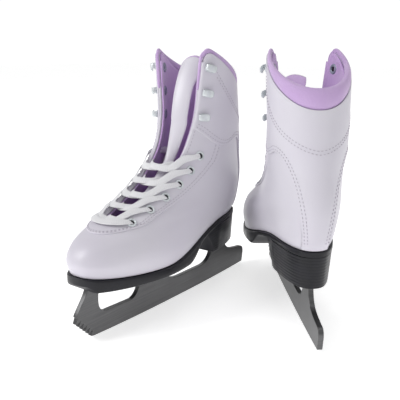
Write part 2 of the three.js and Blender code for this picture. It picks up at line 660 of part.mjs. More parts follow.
// A round section carried along a list of points, with its frame turned as little as it can be.
function rope(path, radius, sides) {
  const points = [];
  const faces = [];
  let side = new THREE.Vector3(0, 0, 1);
  path.forEach((p, i) => {
    const ahead = path[Math.min(i + 1, path.length - 1)].clone().sub(path[Math.max(i - 1, 0)]).normalize();
    side = side.clone().addScaledVector(ahead, -side.dot(ahead)).normalize();
    const other = ahead.clone().cross(side);
    for (let k = 0; k < sides; k += 1) {
      const a = (2 * Math.PI * k) / sides;
      points.push(p.clone().addScaledVector(side, radius * Math.cos(a)).addScaledVector(other, radius * Math.sin(a)));
    }
  });
  const id = (i, k) => i * sides + (k % sides);
  const end = path.length - 1;
  for (let i = 0; i < end; i += 1) {
    for (let k = 0; k < sides; k += 1) {
      faces.push(id(i, k), id(i, k + 1), id(i + 1, k + 1), id(i, k), id(i + 1, k + 1), id(i + 1, k));
    }
  }
  for (let k = 1; k + 1 < sides; k += 1) {
    faces.push(id(0, 0), id(0, k + 1), id(0, k), id(end, 0), id(end, k), id(end, k + 1));
  }
  return body(points, faces);
}

const laceGeometry = () => rope(laceRoute(), LACE.radius, LACE.sides);

// ---------------------------------------------------------------- the two skates
function skate(prefix) {
  const group = new THREE.Group();
  const add = (name, geometry, material) => {
    const mesh = new THREE.Mesh(geometry, material);
    mesh.name = `${prefix}_${name}`;
    group.add(mesh);
  };
  add('blade', bladeGeometry(), steel);
  add('outsole', outsoleGeometry(), black);
  add('heel', heelGeometry(), black);
  add('insole', insoleGeometry(), board);
  add('upper_shell', shellGeometry(), white);
  add('eyelet_stay', stayGeometry(), white);
  add('ankle_cuff', cuffGeometry(), white);
  add('lining', liningGeometry(), lilac);
  add('collar_roll', collarGeometry(), lilac);
  add('tongue_base', tongueBaseGeometry(), white);
  add('tongue_top', tongueTopGeometry(TONGUE.lean[prefix]), white);
  add('lace', laceGeometry(), cotton);
  for (const [side, word] of [[1, 'a'], [-1, 'b']]) {
    for (let i = 0; i < EYELET.count; i += 1) add(`eyelet_${word}${i + 1}`, eyeletGeometry(i, side), silver);
    for (let i = 0; i < HOOK.count; i += 1) add(`hook_${word}${i + 1}`, hookGeometry(i, side), silver);
  }
  return group;
}

const pair = new THREE.Group();
const left = skate('left');
const right = skate('right');
right.scale.y = -1;
right.rotation.z = THREE.MathUtils.degToRad(PAIR.yaw);
right.position.set(PAIR.x, PAIR.y, 0);
pair.add(left, right);

// The origin is the middle of the pair's box, on the ice.
pair.updateMatrixWorld(true);
const bounds = new THREE.Box3().setFromObject(pair, true);
pair.position.set(-(bounds.min.x + bounds.max.x) / 2, -(bounds.min.y + bounds.max.y) / 2, -bounds.min.z);

export default pair;
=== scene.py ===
import json
import math

import bmesh
import bpy
import numpy as np
from bpy.props import FloatProperty, FloatVectorProperty, PointerProperty
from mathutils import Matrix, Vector


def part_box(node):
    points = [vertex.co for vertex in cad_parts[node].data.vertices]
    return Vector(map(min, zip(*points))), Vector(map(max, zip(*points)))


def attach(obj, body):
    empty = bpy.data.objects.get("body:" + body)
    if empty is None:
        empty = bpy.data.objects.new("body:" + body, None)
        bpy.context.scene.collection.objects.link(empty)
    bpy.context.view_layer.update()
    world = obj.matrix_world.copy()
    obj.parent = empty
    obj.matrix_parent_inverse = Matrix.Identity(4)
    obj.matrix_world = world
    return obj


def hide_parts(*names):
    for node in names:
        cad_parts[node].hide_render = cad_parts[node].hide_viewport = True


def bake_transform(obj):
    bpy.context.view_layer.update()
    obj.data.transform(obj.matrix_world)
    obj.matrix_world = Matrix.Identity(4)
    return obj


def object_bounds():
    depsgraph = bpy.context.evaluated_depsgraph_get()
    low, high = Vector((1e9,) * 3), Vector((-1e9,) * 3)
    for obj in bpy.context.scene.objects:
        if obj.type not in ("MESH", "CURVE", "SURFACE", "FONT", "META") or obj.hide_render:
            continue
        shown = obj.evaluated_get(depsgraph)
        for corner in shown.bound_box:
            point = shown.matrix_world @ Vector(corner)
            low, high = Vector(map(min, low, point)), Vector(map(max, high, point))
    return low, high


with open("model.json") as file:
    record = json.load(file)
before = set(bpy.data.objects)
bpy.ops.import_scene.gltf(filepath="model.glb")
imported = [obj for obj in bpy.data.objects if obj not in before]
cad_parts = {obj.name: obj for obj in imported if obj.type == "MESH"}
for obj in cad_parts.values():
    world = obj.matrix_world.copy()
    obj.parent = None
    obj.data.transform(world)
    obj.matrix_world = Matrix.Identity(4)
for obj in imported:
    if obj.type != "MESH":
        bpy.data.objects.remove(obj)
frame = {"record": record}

bl_info = {
    "name": "Figure Skates",
    "version": (1, 0, 0),
    "blender": (4, 5, 0),
    "location": "View3D > Sidebar > Skates",
    "description": "Builds a pair of laced figure skates, piece by piece",
    "category": "Add Mesh",
}

CAD_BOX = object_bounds()
MM = 0.001

# ------------------------------------------------------------------ the boot's sizes, in millimetres
# Each skate is drawn in its own frame: X from the tail of the blade to the toe, Y to the wearer's
# left, Z up from the ice. The right skate is a mirrored copy.
GAP = 0.3
BLADE = dict(length=222, thickness=4, rocker=2000, centre=108, flat=12, tail=1, tail_height=19,
             tail_round=7, web=17.5, picks=6, pick_depth=4.4, pick_base=1.5, pick_top=19, run_end=205)
POSTS = dict(rear=(36, 54), middle=(130, 152), front=(198, 209))
SOLE = dict(bottom=41, toe_rise=5, rise_from=212, arch_edge=4.5, welt=1.6, arch_from=129, arch_to=104)
HEEL = dict(bottom=37, back=30, front=80, breast=14, half=24, taper=2.2, inset=0.3, bulge=1.5, ridge=0.22,
            bottom_round=1.0)
LAST = dict(toe=217, seat_heel=66.5, seat_ball=49.5, toe_spring=2.5, ball=165, heel_end=66)
UPPER = dict(shell=2.2, overlay=1.2, lining=1.5)
INSOLE = dict(thickness=3.5, inset=4.6)
THROAT = dict(shell=0.285, stay=0.335, stay_top=0.735, half=9, top_half=16.5, stay_width=21,
              outer_round=0.035, inner_round=0.03, turn=1 / 3, slant=0.04, tucked=0.06,
              width_seen=0.62, stay_out=0.03)
CUFF = dict(seam=0.7, dip=0.03, front=0.765, stay_half=0.09, flare=0.38, sweep=2.3, edge=0.02,
            lift=0.5, depth=0.6)
COLLAR = dict(back=14.5, peak=2.6, taper=0.62, thickness=8, flap_half=24, drop=0.035, drop_over=0.07,
              overlap=1.8, thin=3.0, flap_thick=2.8, flap_high=2.2, flap_end=0.875)
EYELET = dict(count=6, first=0.335, last=0.655, from_edge=9.5, width_seen=0.86, outer=3.9, hole=2.2,
              lift=0.25, flange=0.9, barrel=3.2, wall=0.35)
HOOK = dict(count=3, first=0.8, last=0.945, inset=0.062, width=6.4, thickness=1.0, head=1.9, head_back=2.2,
            washer=4.1, washer_hole=1.8)
TONGUE = dict(thickness=4.2, inner=-0.5, outer=21, past=6, start=0.322, split=0.73, under=5.9, top=205,
              top_x=84, top_inner=-6, top_outer=16.5, neck=12.2, neck_from=0.53, neck_over=0.1,
              bow=4.5, wrap_low=3.0, wrap=7, spread_from=0.55, crown=0.12)
LACE = dict(clear=0.2, sunk=0.3, gathered=0.62, swollen=1.25, step=1.1)
SEAM = dict(proud=0.05, pair=(2.2, 4.6), quilt_half=0.6, quilt_low=0.705, quilt_rise=0.215,
            quilt_side=0.58, quilt_shifts=(0.0, 0.016))
TONGUE_LEAN = {"left": 0.0, "right": math.radians(68)}

BACK_X = (30, 26, 24, 23, 22.5, 23.5, 26, 29, 32, 35, 38)
BACK_Z = (66.5, 74, 82, 90, 98, 108, 121, 137, 153, 168, 183)
FRONT_X = (217, 219.5, 213, 197, 176, 155, 136, 120, 113, 114, 117)
FRONT_Z = (52, 62, 72.5, 81.5, 90.5, 101, 115, 133, 157, 188, 221)
HALF_HEEL = (22.5, 24.5, 25.5, 26, 26.5, 26.5, 26.5, 27, 27.5, 28, 28.5)
HALF_WAIST = (27, 29, 29.5, 29.5, 29, 28, 28, 28, 28.5, 29, 29.5)
HALF_BALL = (35.5, 37.5, 36, 32, 28, 27, 27, 27.5, 28, 28.5, 29)
ROUND = (2.4, 2.4, 2.4, 2.4, 2.3, 2.2, 2.1, 2.1, 2.1, 2.1, 2.1)
SOLE_FADE = 0.4


# ------------------------------------------------------------------ where the two skates stand
class Skate:
    """One skate's place in the frame: the tail of its blade on the ice, its heading and the
    direction that its own Y axis takes. It turns skate millimetres into metres of the frame."""

    def __init__(self, name, origin, ahead, mirrored):
        self.name = name
        self.origin = np.array([origin[0], origin[1], 0.0])
        self.ahead = np.array([ahead[0], ahead[1], 0.0])
        side = np.array([-ahead[1], ahead[0], 0.0])
        self.side = -side if mirrored else side
        self.mirrored = mirrored

    def row(self, points):
        points = np.asarray(points, dtype=float) * MM
        up = np.array([0.0, 0.0, 1.0])
        return (self.origin + points[..., :1] * self.ahead + points[..., 1:2] * self.side
                + points[..., 2:3] * up)


def hinge_of(name):
    joints = frame["record"]["behaviour"]["joints"]
    joint = next(j for j in joints if j["name"] == name)
    return np.array(joint["pos_m"]), np.array(joint["axis"])


def stand():
    """The left skate heads along +X and starts just behind its blade's tail. The right skate's
    heading is at right angles to its tongue's hinge, and the hinge is as far from the tail."""
    low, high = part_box("left_blade")
    left = (low[0] - BLADE["tail"] * MM, (low[1] + high[1]) / 2)
    fold, _ = hinge_of("left_tongue_flex")
    reach = fold[0] - left[0]
    place, axis = hinge_of("right_tongue_flex")
    ahead = (axis[1], -axis[0])
    right = (place[0] - ahead[0] * reach, place[1] - ahead[1] * reach)
    return [Skate("left", left, (1.0, 0.0), False), Skate("right", right, ahead, True)]


PAIR = stand()


# ------------------------------------------------------------------ the boot's outer surface
def smooth(t):
    t = np.clip(t, 0, 1)
    return t * t * (3 - 2 * t)


def mix(a, b, t):
    return a + (b - a) * t


def swing(t):
    """From 0 to 1 as t does, along half a wave of a cosine."""
    return (1 - np.cos(np.pi * t)) / 2


def bent(values, power):
    """The values with their signs kept and their sizes raised to a power. It turns the cosines and
    sines of a circle into those of a superellipse."""
    return np.sign(values) * np.abs(values) ** power


def circle(count):
    """Evenly spaced angles once round, in radians."""
    return np.linspace(0, 2 * np.pi, count, endpoint=False)


def arc(t):
    """A quarter of an ellipse, rising from 0 to 1 as t does."""
    return np.sqrt(1 - (1 - np.clip(t, 0, 1)) ** 2)


def through(values, t):
    """A smooth curve through evenly spaced values, t from 0 to 1: a cubic between each two whose
    slopes come from their neighbours. The values may be numbers or arrays shaped like t."""
    t = np.asarray(t, dtype=float)
    knots = np.asarray(values, dtype=float)
    if knots.ndim == 1:
        knots = np.broadcast_to(knots.reshape((-1,) + (1,) * t.ndim), (len(knots),) + t.shape)
    last = len(knots) - 1
    at = np.clip(t, 0, 1) * last
    i = np.minimum(at.astype(int), last - 1)
    f = at - i
    padded = np.concatenate([2 * knots[:1] - knots[1:2], knots, 2 * knots[-1:] - knots[-2:-1]])
    a, b, c, d = (np.take_along_axis(padded, (i + k)[None], axis=0)[0] for k in range(4))
    return b + 0.5 * f * (c - a + f * (2 * a - 5 * b + 4 * c - d + f * (3 * (b - c) + d - a)))


def seat(x):
    """Height of the top of the sole unit: high under the heel, low under the ball, with a little
    spring at the toe."""
    rise = smooth((LAST["ball"] - 5 - x) / (LAST["ball"] - 5 - LAST["heel_end"]))
    spring = LAST["toe_spring"] * np.maximum(0, (x - LAST["ball"]) / (LAST["toe"] - LAST["ball"])) ** 2
    return mix(LAST["seat_ball"], LAST["seat_heel"], rise) + spring


def half_width(t, v):
    """Half the boot's width at t along a slice: a superellipse times a width that runs smoothly
    from heel to waist to ball."""
    heel, waist, ball = through(HALF_HEEL, v), through(HALF_WAIST, v), through(HALF_BALL, v)
    wide = through(np.stack([heel, waist, ball, ball * 0.88]), t)
    n = through(ROUND, v)
    return wide * np.maximum(0, 1 - np.abs(2 * t - 1) ** n) ** (1 / n)


def surface(s, v):
    """The outer surface. Slices fan out from the heel: v counts them from the sole, 0, to the
    collar, 1, and s runs round a slice from the heel, 0, to the front, 1 or -1. Along a slice x and
    z run straight from the back line to the front line, and near the sole z is bent to follow it."""
    s, v = np.broadcast_arrays(np.asarray(s, dtype=float), np.asarray(v, dtype=float))
    t = swing(np.abs(s))
    x = mix(through(BACK_X, v), through(FRONT_X, v), t)
    flat = mix(through(BACK_Z, v), through(FRONT_Z, v), t)
    chord = mix(BACK_Z[0], FRONT_Z[0], (x - BACK_X[0]) / (FRONT_X[0] - BACK_X[0]))
    fade = np.maximum(0, 1 - v / SOLE_FADE) ** 2
    return np.stack([x, np.sign(s) * half_width(t, v), flat + (seat(x) - chord) * fade], axis=-1)


def unit(vectors):
    return vectors / np.maximum(np.linalg.norm(vectors, axis=-1, keepdims=True), 1e-12)


def normal(s, v):
    """Outward normal: the cross product of the small steps up and along the surface."""
    s, v = np.broadcast_arrays(np.asarray(s, dtype=float), np.asarray(v, dtype=float))
    e = 0.004
    front = np.abs(s) > 1 - e
    ahead, behind = np.where(front, -1 + e, s + e), np.where(front, 1 - e, s - e)
    along = surface(ahead, v) - surface(behind, v)
    up = surface(s, np.minimum(1, v + e)) - surface(s, np.maximum(0, v - e))
    n = np.cross(up, along)
    n[..., 1] = np.where(front, 0, n[..., 1])
    return unit(n)


def point(s, v, offset):
    return surface(s, v) + normal(s, v) * np.asarray(offset, dtype=float)[..., None]


def at_half(half, v):
    """The s between the side and the front where the surface has come in to a half width, found
    by halving the interval."""
    half, v = np.broadcast_arrays(np.asarray(half, dtype=float), np.asarray(v, dtype=float))
    low, high = np.full(v.shape, 0.55), np.ones(v.shape)
    for _ in range(26):
        middle = (low + high) / 2
        wide = half_width(swing(middle), v) > half
        low, high = np.where(wide, middle, low), np.where(wide, high, middle)
    return (low + high) / 2


def facing_half(v):
    """Half the gap between the two facings: a rounded bottom, then widening upwards."""
    v = np.asarray(v, dtype=float)
    open_ = THROAT["half"] * arc((v - THROAT["stay"]) / THROAT["inner_round"])
    share = np.clip((v - THROAT["stay"]) / (THROAT["stay_top"] - THROAT["stay"]), 0, 1)
    laced = mix(open_, np.maximum(open_, THROAT["top_half"]), share)
    above = np.clip((v - THROAT["stay_top"]) / (1 - THROAT["stay_top"]), 0, 1)
    return np.where(v <= THROAT["stay"], 0, mix(laced, COLLAR["flap_half"], above))


def facing_edge(v):
    return at_half(facing_half(v), v)


def stay_edge(v):
    """The outer boundary of the eyelet stay."""
    v = np.asarray(v, dtype=float)
    wide = arc((v - THROAT["shell"]) / THROAT["outer_round"])
    half = np.maximum(facing_half(v), THROAT["half"]) + THROAT["stay_width"] * THROAT["width_seen"]
    return np.where(v <= THROAT["shell"], 1, at_half(half * wide, v) - THROAT["stay_out"] * wide)


COLLAR_SIDE = float(facing_edge(np.array(1.0)))


def roll_height(s):
    """Height of the collar roll: full at the back, and down to a thin edge over each peak."""
    turn = np.cos(np.pi / 2 * np.clip(np.abs(s) / COLLAR["taper"], 0, 1))
    return mix(COLLAR["peak"], COLLAR["back"], turn ** 1.5)


def rim(s):
    """The boot's upper edge, with a rounded peak: a quarter of an ellipse down to each facing."""
    near = np.clip((np.abs(s) - COLLAR_SIDE + COLLAR["drop_over"]) / COLLAR["drop_over"], 0, 1)
    return 1 - COLLAR["drop"] * (1 - np.sqrt(1 - near ** 2))


def top_edge(s):
    slice_ = np.linalg.norm(surface(s, 1.0) - surface(s, 0.9), axis=-1) / 0.1
    return rim(s) - (roll_height(s) + 2 * GAP) / slice_


def cuff_low(s):
    """Lower edge of the ankle cuff: a shallow curve along the side, then a quarter of a
    superellipse down to the narrow backstay."""
    side = np.abs(s)
    front = float(facing_edge(np.array(CUFF["front"])))
    forwards = np.clip((side - CUFF["flare"]) / (front - CUFF["flare"]), 0, 1)
    dip = CUFF["dip"] * np.sin(np.pi * forwards)
    seam = mix(CUFF["seam"], CUFF["front"], smooth((side - 0.45) / 0.3)) - dip
    out = 1 - np.clip((side - CUFF["stay_half"]) / (CUFF["flare"] - CUFF["stay_half"]), 0, 1)
    return mix(CUFF["edge"], seam, (1 - out ** CUFF["sweep"]) ** (1 / CUFF["sweep"]))


# ------------------------------------------------------------------ grids into meshes
def grid_faces(rows, columns, start=0, wrap=False, turned=False):
    """Quads of a grid of rows by columns points, numbered row by row from start."""
    ids = start + np.arange(rows * columns).reshape(rows, columns)
    if wrap:
        ids = np.concatenate([ids, ids[:, :1]], axis=1)
    quads = np.stack([ids[:-1, :-1], ids[:-1, 1:], ids[1:, 1:], ids[1:, :-1]], axis=-1).reshape(-1, 4)
    return quads[:, ::-1] if turned else quads


def two_walls(outer, inner, joined=None):
    """A closed wall from two grids of points. Its four edges are strips of quads, and where joined
    is true for a row its two ends meet, so that they get no strip."""
    rows, columns = outer.shape[:2]
    points = np.concatenate([outer.reshape(-1, 3), inner.reshape(-1, 3)])
    a = np.arange(rows * columns).reshape(rows, columns)
    b = a + rows * columns
    faces = [grid_faces(rows, columns), grid_faces(rows, columns, rows * columns, turned=True)]
    faces.append(np.stack([b[0, :-1], b[0, 1:], a[0, 1:], a[0, :-1]], axis=-1))
    faces.append(np.stack([a[-1, :-1], a[-1, 1:], b[-1, 1:], b[-1, :-1]], axis=-1))
    ends = np.ones(rows - 1, bool) if joined is None else ~joined[1:]
    faces.append(np.stack([b[:-1, 0], a[:-1, 0], a[1:, 0], b[1:, 0]], axis=-1)[ends])
    faces.append(np.stack([a[:-1, -1], b[:-1, -1], b[1:, -1], a[1:, -1]], axis=-1)[ends])
    return points, np.concatenate(faces)


def closed_tube(rings):
    """A skin over rings of points, row after row, closed by a point at the middle of each end."""
    rows, sides = rings.shape[:2]
    points = np.concatenate([rings.reshape(-1, 3), rings[:1].mean(axis=1), rings[-1:].mean(axis=1)])
    faces = grid_faces(rows, sides, wrap=True)
    first, last = np.arange(sides), (rows - 1) * sides + np.arange(sides)
    head, tail = np.full(sides, rows * sides), np.full(sides, rows * sides + 1)
    caps = [np.stack([np.roll(first, -1), first, head, head], axis=-1),
            np.stack([last, np.roll(last, -1), tail, tail], axis=-1)]
    return points, np.concatenate([faces] + caps)


def run_along(line, power=1):
    """How far along a line of points each one lies, with each step raised to a power."""
    return np.concatenate([[0], np.cumsum(np.linalg.norm(np.diff(line, axis=0), axis=-1) ** power)])


def sample(where, run, rows):
    """Rows of three numbers, read off at places between those of the run."""
    return np.stack([np.interp(where, run, rows[:, k]) for k in range(3)], axis=-1)


def neighbours(values):
    """The sum of the values before and after each one and twice that one."""
    return values[:-2] + 2 * values[1:-1] + values[2:]


def repeat(points, faces, frames):
    """Copies of a small shape: frames holds, for each copy, its place and three axes."""
    place, axes = frames
    many = place[:, None, :] + np.einsum("pk,nkj->npj", points, axes)
    shift = (np.arange(len(place)) * len(points))[:, None, None]
    return many.reshape(-1, 3), (faces[None] + shift).reshape(-1, faces.shape[1])


def merge(parts):
    """Several shapes as one list of points and one of faces."""
    points, faces, start = [], [], 0
    for p, f in parts:
        points.append(p)
        faces.append(f + start)
        start += len(p)
    return np.concatenate(points), np.concatenate(faces)


def new_object(name, data):
    obj = bpy.data.objects.new(name, data)
    bpy.context.scene.collection.objects.link(obj)
    return obj


def build(name, points, faces, skate, materials, uv=None, slots=None, weld=False):
    """A mesh object in the frame from skate millimetres. faces is an array of quads or a list, and
    a face that names a point twice loses it once. uv is a pair for each point and slots a material
    number for each face."""
    place = skate.row(points)
    faces = faces.tolist() if isinstance(faces, np.ndarray) else faces
    corners = [[i for k, i in enumerate(face) if i != face[k - 1]] for face in faces]
    mesh = bpy.data.meshes.new(name)
    mesh.from_pydata(place.tolist(), [], corners)
    if uv is not None:
        layer = mesh.uv_layers.new(name="Flow")
        index = np.empty(len(mesh.loops), dtype=np.int32)
        mesh.loops.foreach_get("vertex_index", index)
        layer.data.foreach_set("uv", np.asarray(uv, dtype=float)[index].ravel())
    for material in materials:
        mesh.materials.append(material)
    if slots is not None:
        mesh.polygons.foreach_set("material_index", np.asarray(slots, dtype=np.int32))
    work = bmesh.new()
    work.from_mesh(mesh)
    if weld:
        bmesh.ops.remove_doubles(work, verts=work.verts, dist=0.002 * MM)
    bmesh.ops.recalc_face_normals(work, faces=work.faces)
    work.to_mesh(mesh)
    work.free()
    mesh.polygons.foreach_set("use_smooth", np.ones(len(mesh.polygons), bool))
    mesh.update()
    return new_object(name, mesh)


def settle(obj, skate, slot, *nodes):
    """The piece rides on its skate and stands for the named nodes. The slot is not used."""
    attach(obj, f"{skate.name}_skate")
    if nodes:
        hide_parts(*[f"{skate.name}_{node}" for node in nodes])
    return obj


def crease(obj, angle):
    """Edges sharper than the angle stay sharp in the shading."""
    obj.data.set_sharp_from_angle(angle=angle)


def edge_roll(points, border, radius, least=0.3):
    """How far a panel has risen to its full thickness: a quarter round over the given radius, from
    the distance of each point to the nearest point of the border."""
    flat = points.reshape(-1, 3)
    near = np.full(len(flat), np.inf)
    for start in range(0, len(border), 64):
        gaps = np.linalg.norm(flat[:, None] - border[None, start:start + 64], axis=-1)
        near = np.minimum(near, gaps.min(axis=1))
    return mix(least, 1, arc(near / radius)).reshape(points.shape[:-1])


def eased(count, strength=0.75):
    """Numbers from 0 to 1 that lie closer together near both ends."""
    t = np.linspace(0, 1, count)
    return mix(t, swing(t), strength)


# ------------------------------------------------------------------ shader node groups
def put(tree, kind, inputs=None, **settings):
    """A node with its settings, and its inputs given as values or as sockets to link from."""
    node = tree.nodes.new(kind)
    for key, value in settings.items():
        setattr(node, key, value)
    for key, value in (inputs or {}).items():
        if isinstance(value, bpy.types.NodeSocket):
            tree.links.new(value, node.inputs[key])
        else:
            node.inputs[key].default_value = value
    return node


def maths(tree, operation, a, b=0.0, clamp=False):
    return put(tree, "ShaderNodeMath", {0: a, 1: b}, operation=operation, use_clamp=clamp).outputs[0]


def new_group(name, inputs, outputs):
    tree = bpy.data.node_groups.new(name, "ShaderNodeTree")
    for label, kind, value in inputs:
        socket = tree.interface.new_socket(label, in_out="INPUT", socket_type=kind)
        if value is not None:
            socket.default_value = value
    for label, kind in outputs:
        tree.interface.new_socket(label, in_out="OUTPUT", socket_type=kind)
    return tree, tree.nodes.new("NodeGroupInput").outputs, tree.nodes.new("NodeGroupOutput")


def grain_group():
    """Leather grain: small rounded cells with creases between them, broken up by fine noise."""
    tree, given, out = new_group("Boot Grain", [
        ("Vector", "NodeSocketVector", None), ("Cells per metre", "NodeSocketFloat", 900.0)],
        [("Height", "NodeSocketFloat")])
    cells = put(tree, "ShaderNodeTexVoronoi",
                {"Vector": given["Vector"], "Scale": given["Cells per metre"]}, feature="SMOOTH_F1")
    fine = put(tree, "ShaderNodeTexNoise", {"Vector": given["Vector"], "Scale": 2600.0, "Detail": 3.0})
    rough = maths(tree, "MULTIPLY", fine.outputs["Fac"], 0.5)
    height = maths(tree, "SUBTRACT", rough, cells.outputs["Distance"])
    tree.links.new(height, out.inputs["Height"])
    return tree


def tint_group():
    """Slow variation of tone: two colours mixed by soft noise, and a mask for the roughness."""
    tree, given, out = new_group("Soft Tint", [
        ("Vector", "NodeSocketVector", None), ("Clean", "NodeSocketColor", None),
        ("Toned", "NodeSocketColor", None), ("Patches per metre", "NodeSocketFloat", 18.0)],
        [("Color", "NodeSocketColor"), ("Mask", "NodeSocketFloat")])
    noise = put(tree, "ShaderNodeTexNoise",
                {"Vector": given["Vector"], "Scale": given["Patches per metre"], "Detail": 4.0})
    mask = put(tree, "ShaderNodeMapRange",
               {"Value": noise.outputs["Fac"], "From Min": 0.35, "From Max": 0.7})
    mixed = put(tree, "ShaderNodeMix", {0: mask.outputs[0], 6: given["Clean"], 7: given["Toned"]},
                data_type="RGBA")
    tree.links.new(mixed.outputs[2], out.inputs["Color"])
    tree.links.new(mask.outputs[0], out.inputs["Mask"])
    return tree


def weave_group():
    """A woven face: diagonal ribs that change direction at the middle of each rib column, with the thread's
    own fuzz.
    Its second output is painted shade for the base colour: darker in the grooves between the ribs."""
    tree, given, out = new_group("Woven Face", [
        ("Vector", "NodeSocketVector", None), ("Ribs per metre", "NodeSocketFloat", 700.0),
        ("Columns per metre", "NodeSocketFloat", 330.0)],
        [("Height", "NodeSocketFloat"), ("Painted Groove Shade", "NodeSocketFloat")])
    parts = put(tree, "ShaderNodeSeparateXYZ", {0: given["Vector"]}).outputs
    column = maths(tree, "MULTIPLY", parts[1], given["Columns per metre"])
    zigzag = maths(tree, "PINGPONG", column, 0.5)
    along = maths(tree, "MULTIPLY", parts[0], given["Ribs per metre"])
    phase = maths(tree, "MULTIPLY", maths(tree, "ADD", along, zigzag), 2 * math.pi)
    rib = maths(tree, "MULTIPLY", maths(tree, "SINE", phase), 0.5)
    gutter = maths(tree, "MULTIPLY", maths(tree, "PINGPONG", column, 0.5), 1.2)
    fuzz = put(tree, "ShaderNodeTexNoise", {"Vector": given["Vector"], "Scale": 3000.0, "Detail": 2.0})
    height = maths(tree, "ADD", maths(tree, "ADD", rib, gutter), fuzz.outputs["Fac"])
    # painted shade: lower where the rib dips, so the colour darkens in the grooves
    shade = maths(tree, "ADD", maths(tree, "MULTIPLY", rib, 0.6), 0.6, clamp=True)
    tree.links.new(height, out.inputs["Height"])
    tree.links.new(shade, out.inputs["Painted Groove Shade"])
    return tree


GROUPS = {}


def group(key):
    makers = {"grain": grain_group, "tint": tint_group, "weave": weave_group}
    if key not in GROUPS:
        GROUPS[key] = makers[key]()
    return GROUPS[key]


def use(tree, key, inputs):
    return put(tree, "ShaderNodeGroup", inputs, node_tree=group(key)).outputs


def bare_material(name, **values):
    """A new material and its shader, with the shader's plain values set on its own sockets."""
    material = bpy.data.materials.new(name)
    material.use_nodes = True
    tree = material.node_tree
    shader = tree.nodes["Principled BSDF"]
    for key, value in values.items():
        shader.inputs[key.replace("_", " ")].default_value = value
    where = tree.nodes.new("ShaderNodeTexCoord").outputs
    return material, tree, shader, where


def bump(tree, shader, height, strength, distance):
    node = put(tree, "ShaderNodeBump", {"Height": height, "Strength": strength, "Distance": distance})
    tree.links.new(node.outputs["Normal"], shader.inputs["Normal"])


def rough_from(tree, shader, mask, low, high):
    span = put(tree, "ShaderNodeMapRange", {"Value": mask, "To Min": low, "To Max": high})
    tree.links.new(span.outputs[0], shader.inputs["Roughness"])


def colour(value, share=1.0):
    return (value[0] * share, value[1] * share, value[2] * share, 1.0)


def toned(value, other, share):
    return tuple(mix(a, b, share) for a, b in zip(value, other)) + (1.0,)


def tinted(tree, shader, where, clean, other, patches):
    """The base colour wanders slowly between two colours. Gives the mask that it follows."""
    tint = use(tree, "tint", {"Vector": where["Object"], "Clean": clean, "Toned": other,
                              "Patches per metre": patches})
    tree.links.new(tint["Color"], shader.inputs["Base Color"])
    return tint["Mask"]


def grained(tree, shader, where, cells, strength, depth):
    grain = use(tree, "grain", {"Vector": where["Object"], "Cells per metre": cells})
    bump(tree, shader, grain["Height"], strength, depth)


def woven(tree, shader, vector, ribs, columns, strength):
    weave = use(tree, "weave", {"Vector": vector, "Ribs per metre": ribs, "Columns per metre": columns})
    bump(tree, shader, weave["Height"], strength, 0.0002)
    # gives the painted groove shade, for callers that darken their colour with it
    return weave["Painted Groove Shade"]


def base_mix(tree, shader, share, first, second):
    shade = put(tree, "ShaderNodeMix", {0: share, 6: first, 7: second}, data_type="RGBA")
    tree.links.new(shade.outputs[2], shader.inputs["Base Color"])


def vinyl(name, tone, shade, cells=1000.0):
    material, tree, shader, where = bare_material(name, Coat_Weight=0.12, Coat_Roughness=0.25, IOR=1.5)
    mask = tinted(tree, shader, where, colour(tone), toned(tone, shade, 0.35), 14.0)
    rough_from(tree, shader, mask, 0.36, 0.46)
    grained(tree, shader, where, cells, 0.35, 0.00006)
    return material


def brushed_cloth(name, tone, shade):
    material, tree, shader, where = bare_material(
        name, Sheen_Weight=0.45, Sheen_Roughness=0.5, Roughness=0.85, Specular_IOR_Level=0.25)
    tinted(tree, shader, where, colour(tone), toned(tone, shade, 0.5), 60.0)
    woven(tree, shader, where["Object"], 900.0, 700.0, 0.4)
    return material


def moulded_rubber(name, tone):
    material, tree, shader, where = bare_material(
        name, Specular_IOR_Level=0.3, Coat_Weight=0.05, Coat_Roughness=0.35)
    mask = tinted(tree, shader, where, colour(tone), colour(tone, 1.8), 90.0)
    rough_from(tree, shader, mask, 0.3, 0.48)
    grained(tree, shader, where, 1600.0, 0.25, 0.00008)
    return material


def satin_steel(name, tone):
    """Steel with fine streaks along the blade: noise on the blade's own UV, drawn out lengthways."""
    material, tree, shader, where = bare_material(name, Metallic=1.0, Anisotropic=0.35)
    drawn = put(tree, "ShaderNodeMapping", {"Vector": where["UV"], "Scale": (18.0, 900.0, 1.0)})
    noise = put(tree, "ShaderNodeTexNoise", {"Vector": drawn.outputs[0], "Scale": 1.0, "Detail": 6.0})
    streak = noise.outputs["Fac"]
    tint = use(tree, "tint", {"Vector": where["Object"], "Clean": colour(tone),
                              "Toned": colour(tone, 1.5), "Patches per metre": 14.0})
    base_mix(tree, shader, streak, colour(tone, 0.6), tint["Color"])
    rough_from(tree, shader, streak, 0.3, 0.5)
    bump(tree, shader, streak, 0.15, 0.00005)
    return material


def enamelled(name, tone, rough=0.28):
    material, tree, shader, where = bare_material(
        name, Metallic=0.25, Coat_Weight=0.5, Coat_Roughness=0.15)
    mask = tinted(tree, shader, where, colour(tone), colour(tone, 0.82), 260.0)
    rough_from(tree, shader, mask, rough, rough + 0.12)
    grained(tree, shader, where, 700.0, 0.12, 0.00005)
    return material


def woven_tape(name, tone):
    """Flat lace: ribs on the tape's own UV, whose units are metres along and across it. Its colour holds
    painted shade, a fifth darker in the grooves between the ribs.
    """
    material, tree, shader, where = bare_material(
        name, Roughness=0.8, Sheen_Weight=0.3, Sheen_Roughness=0.4, Specular_IOR_Level=0.3)
    # painted shade: the colour drops to 0.8 of the tone in the weave's grooves
    shade = woven(tree, shader, where["UV"], 620.0, 500.0, 0.6)
    base_mix(tree, shader, shade, colour(tone, 0.8), colour(tone))
    return material


MATERIALS = {}


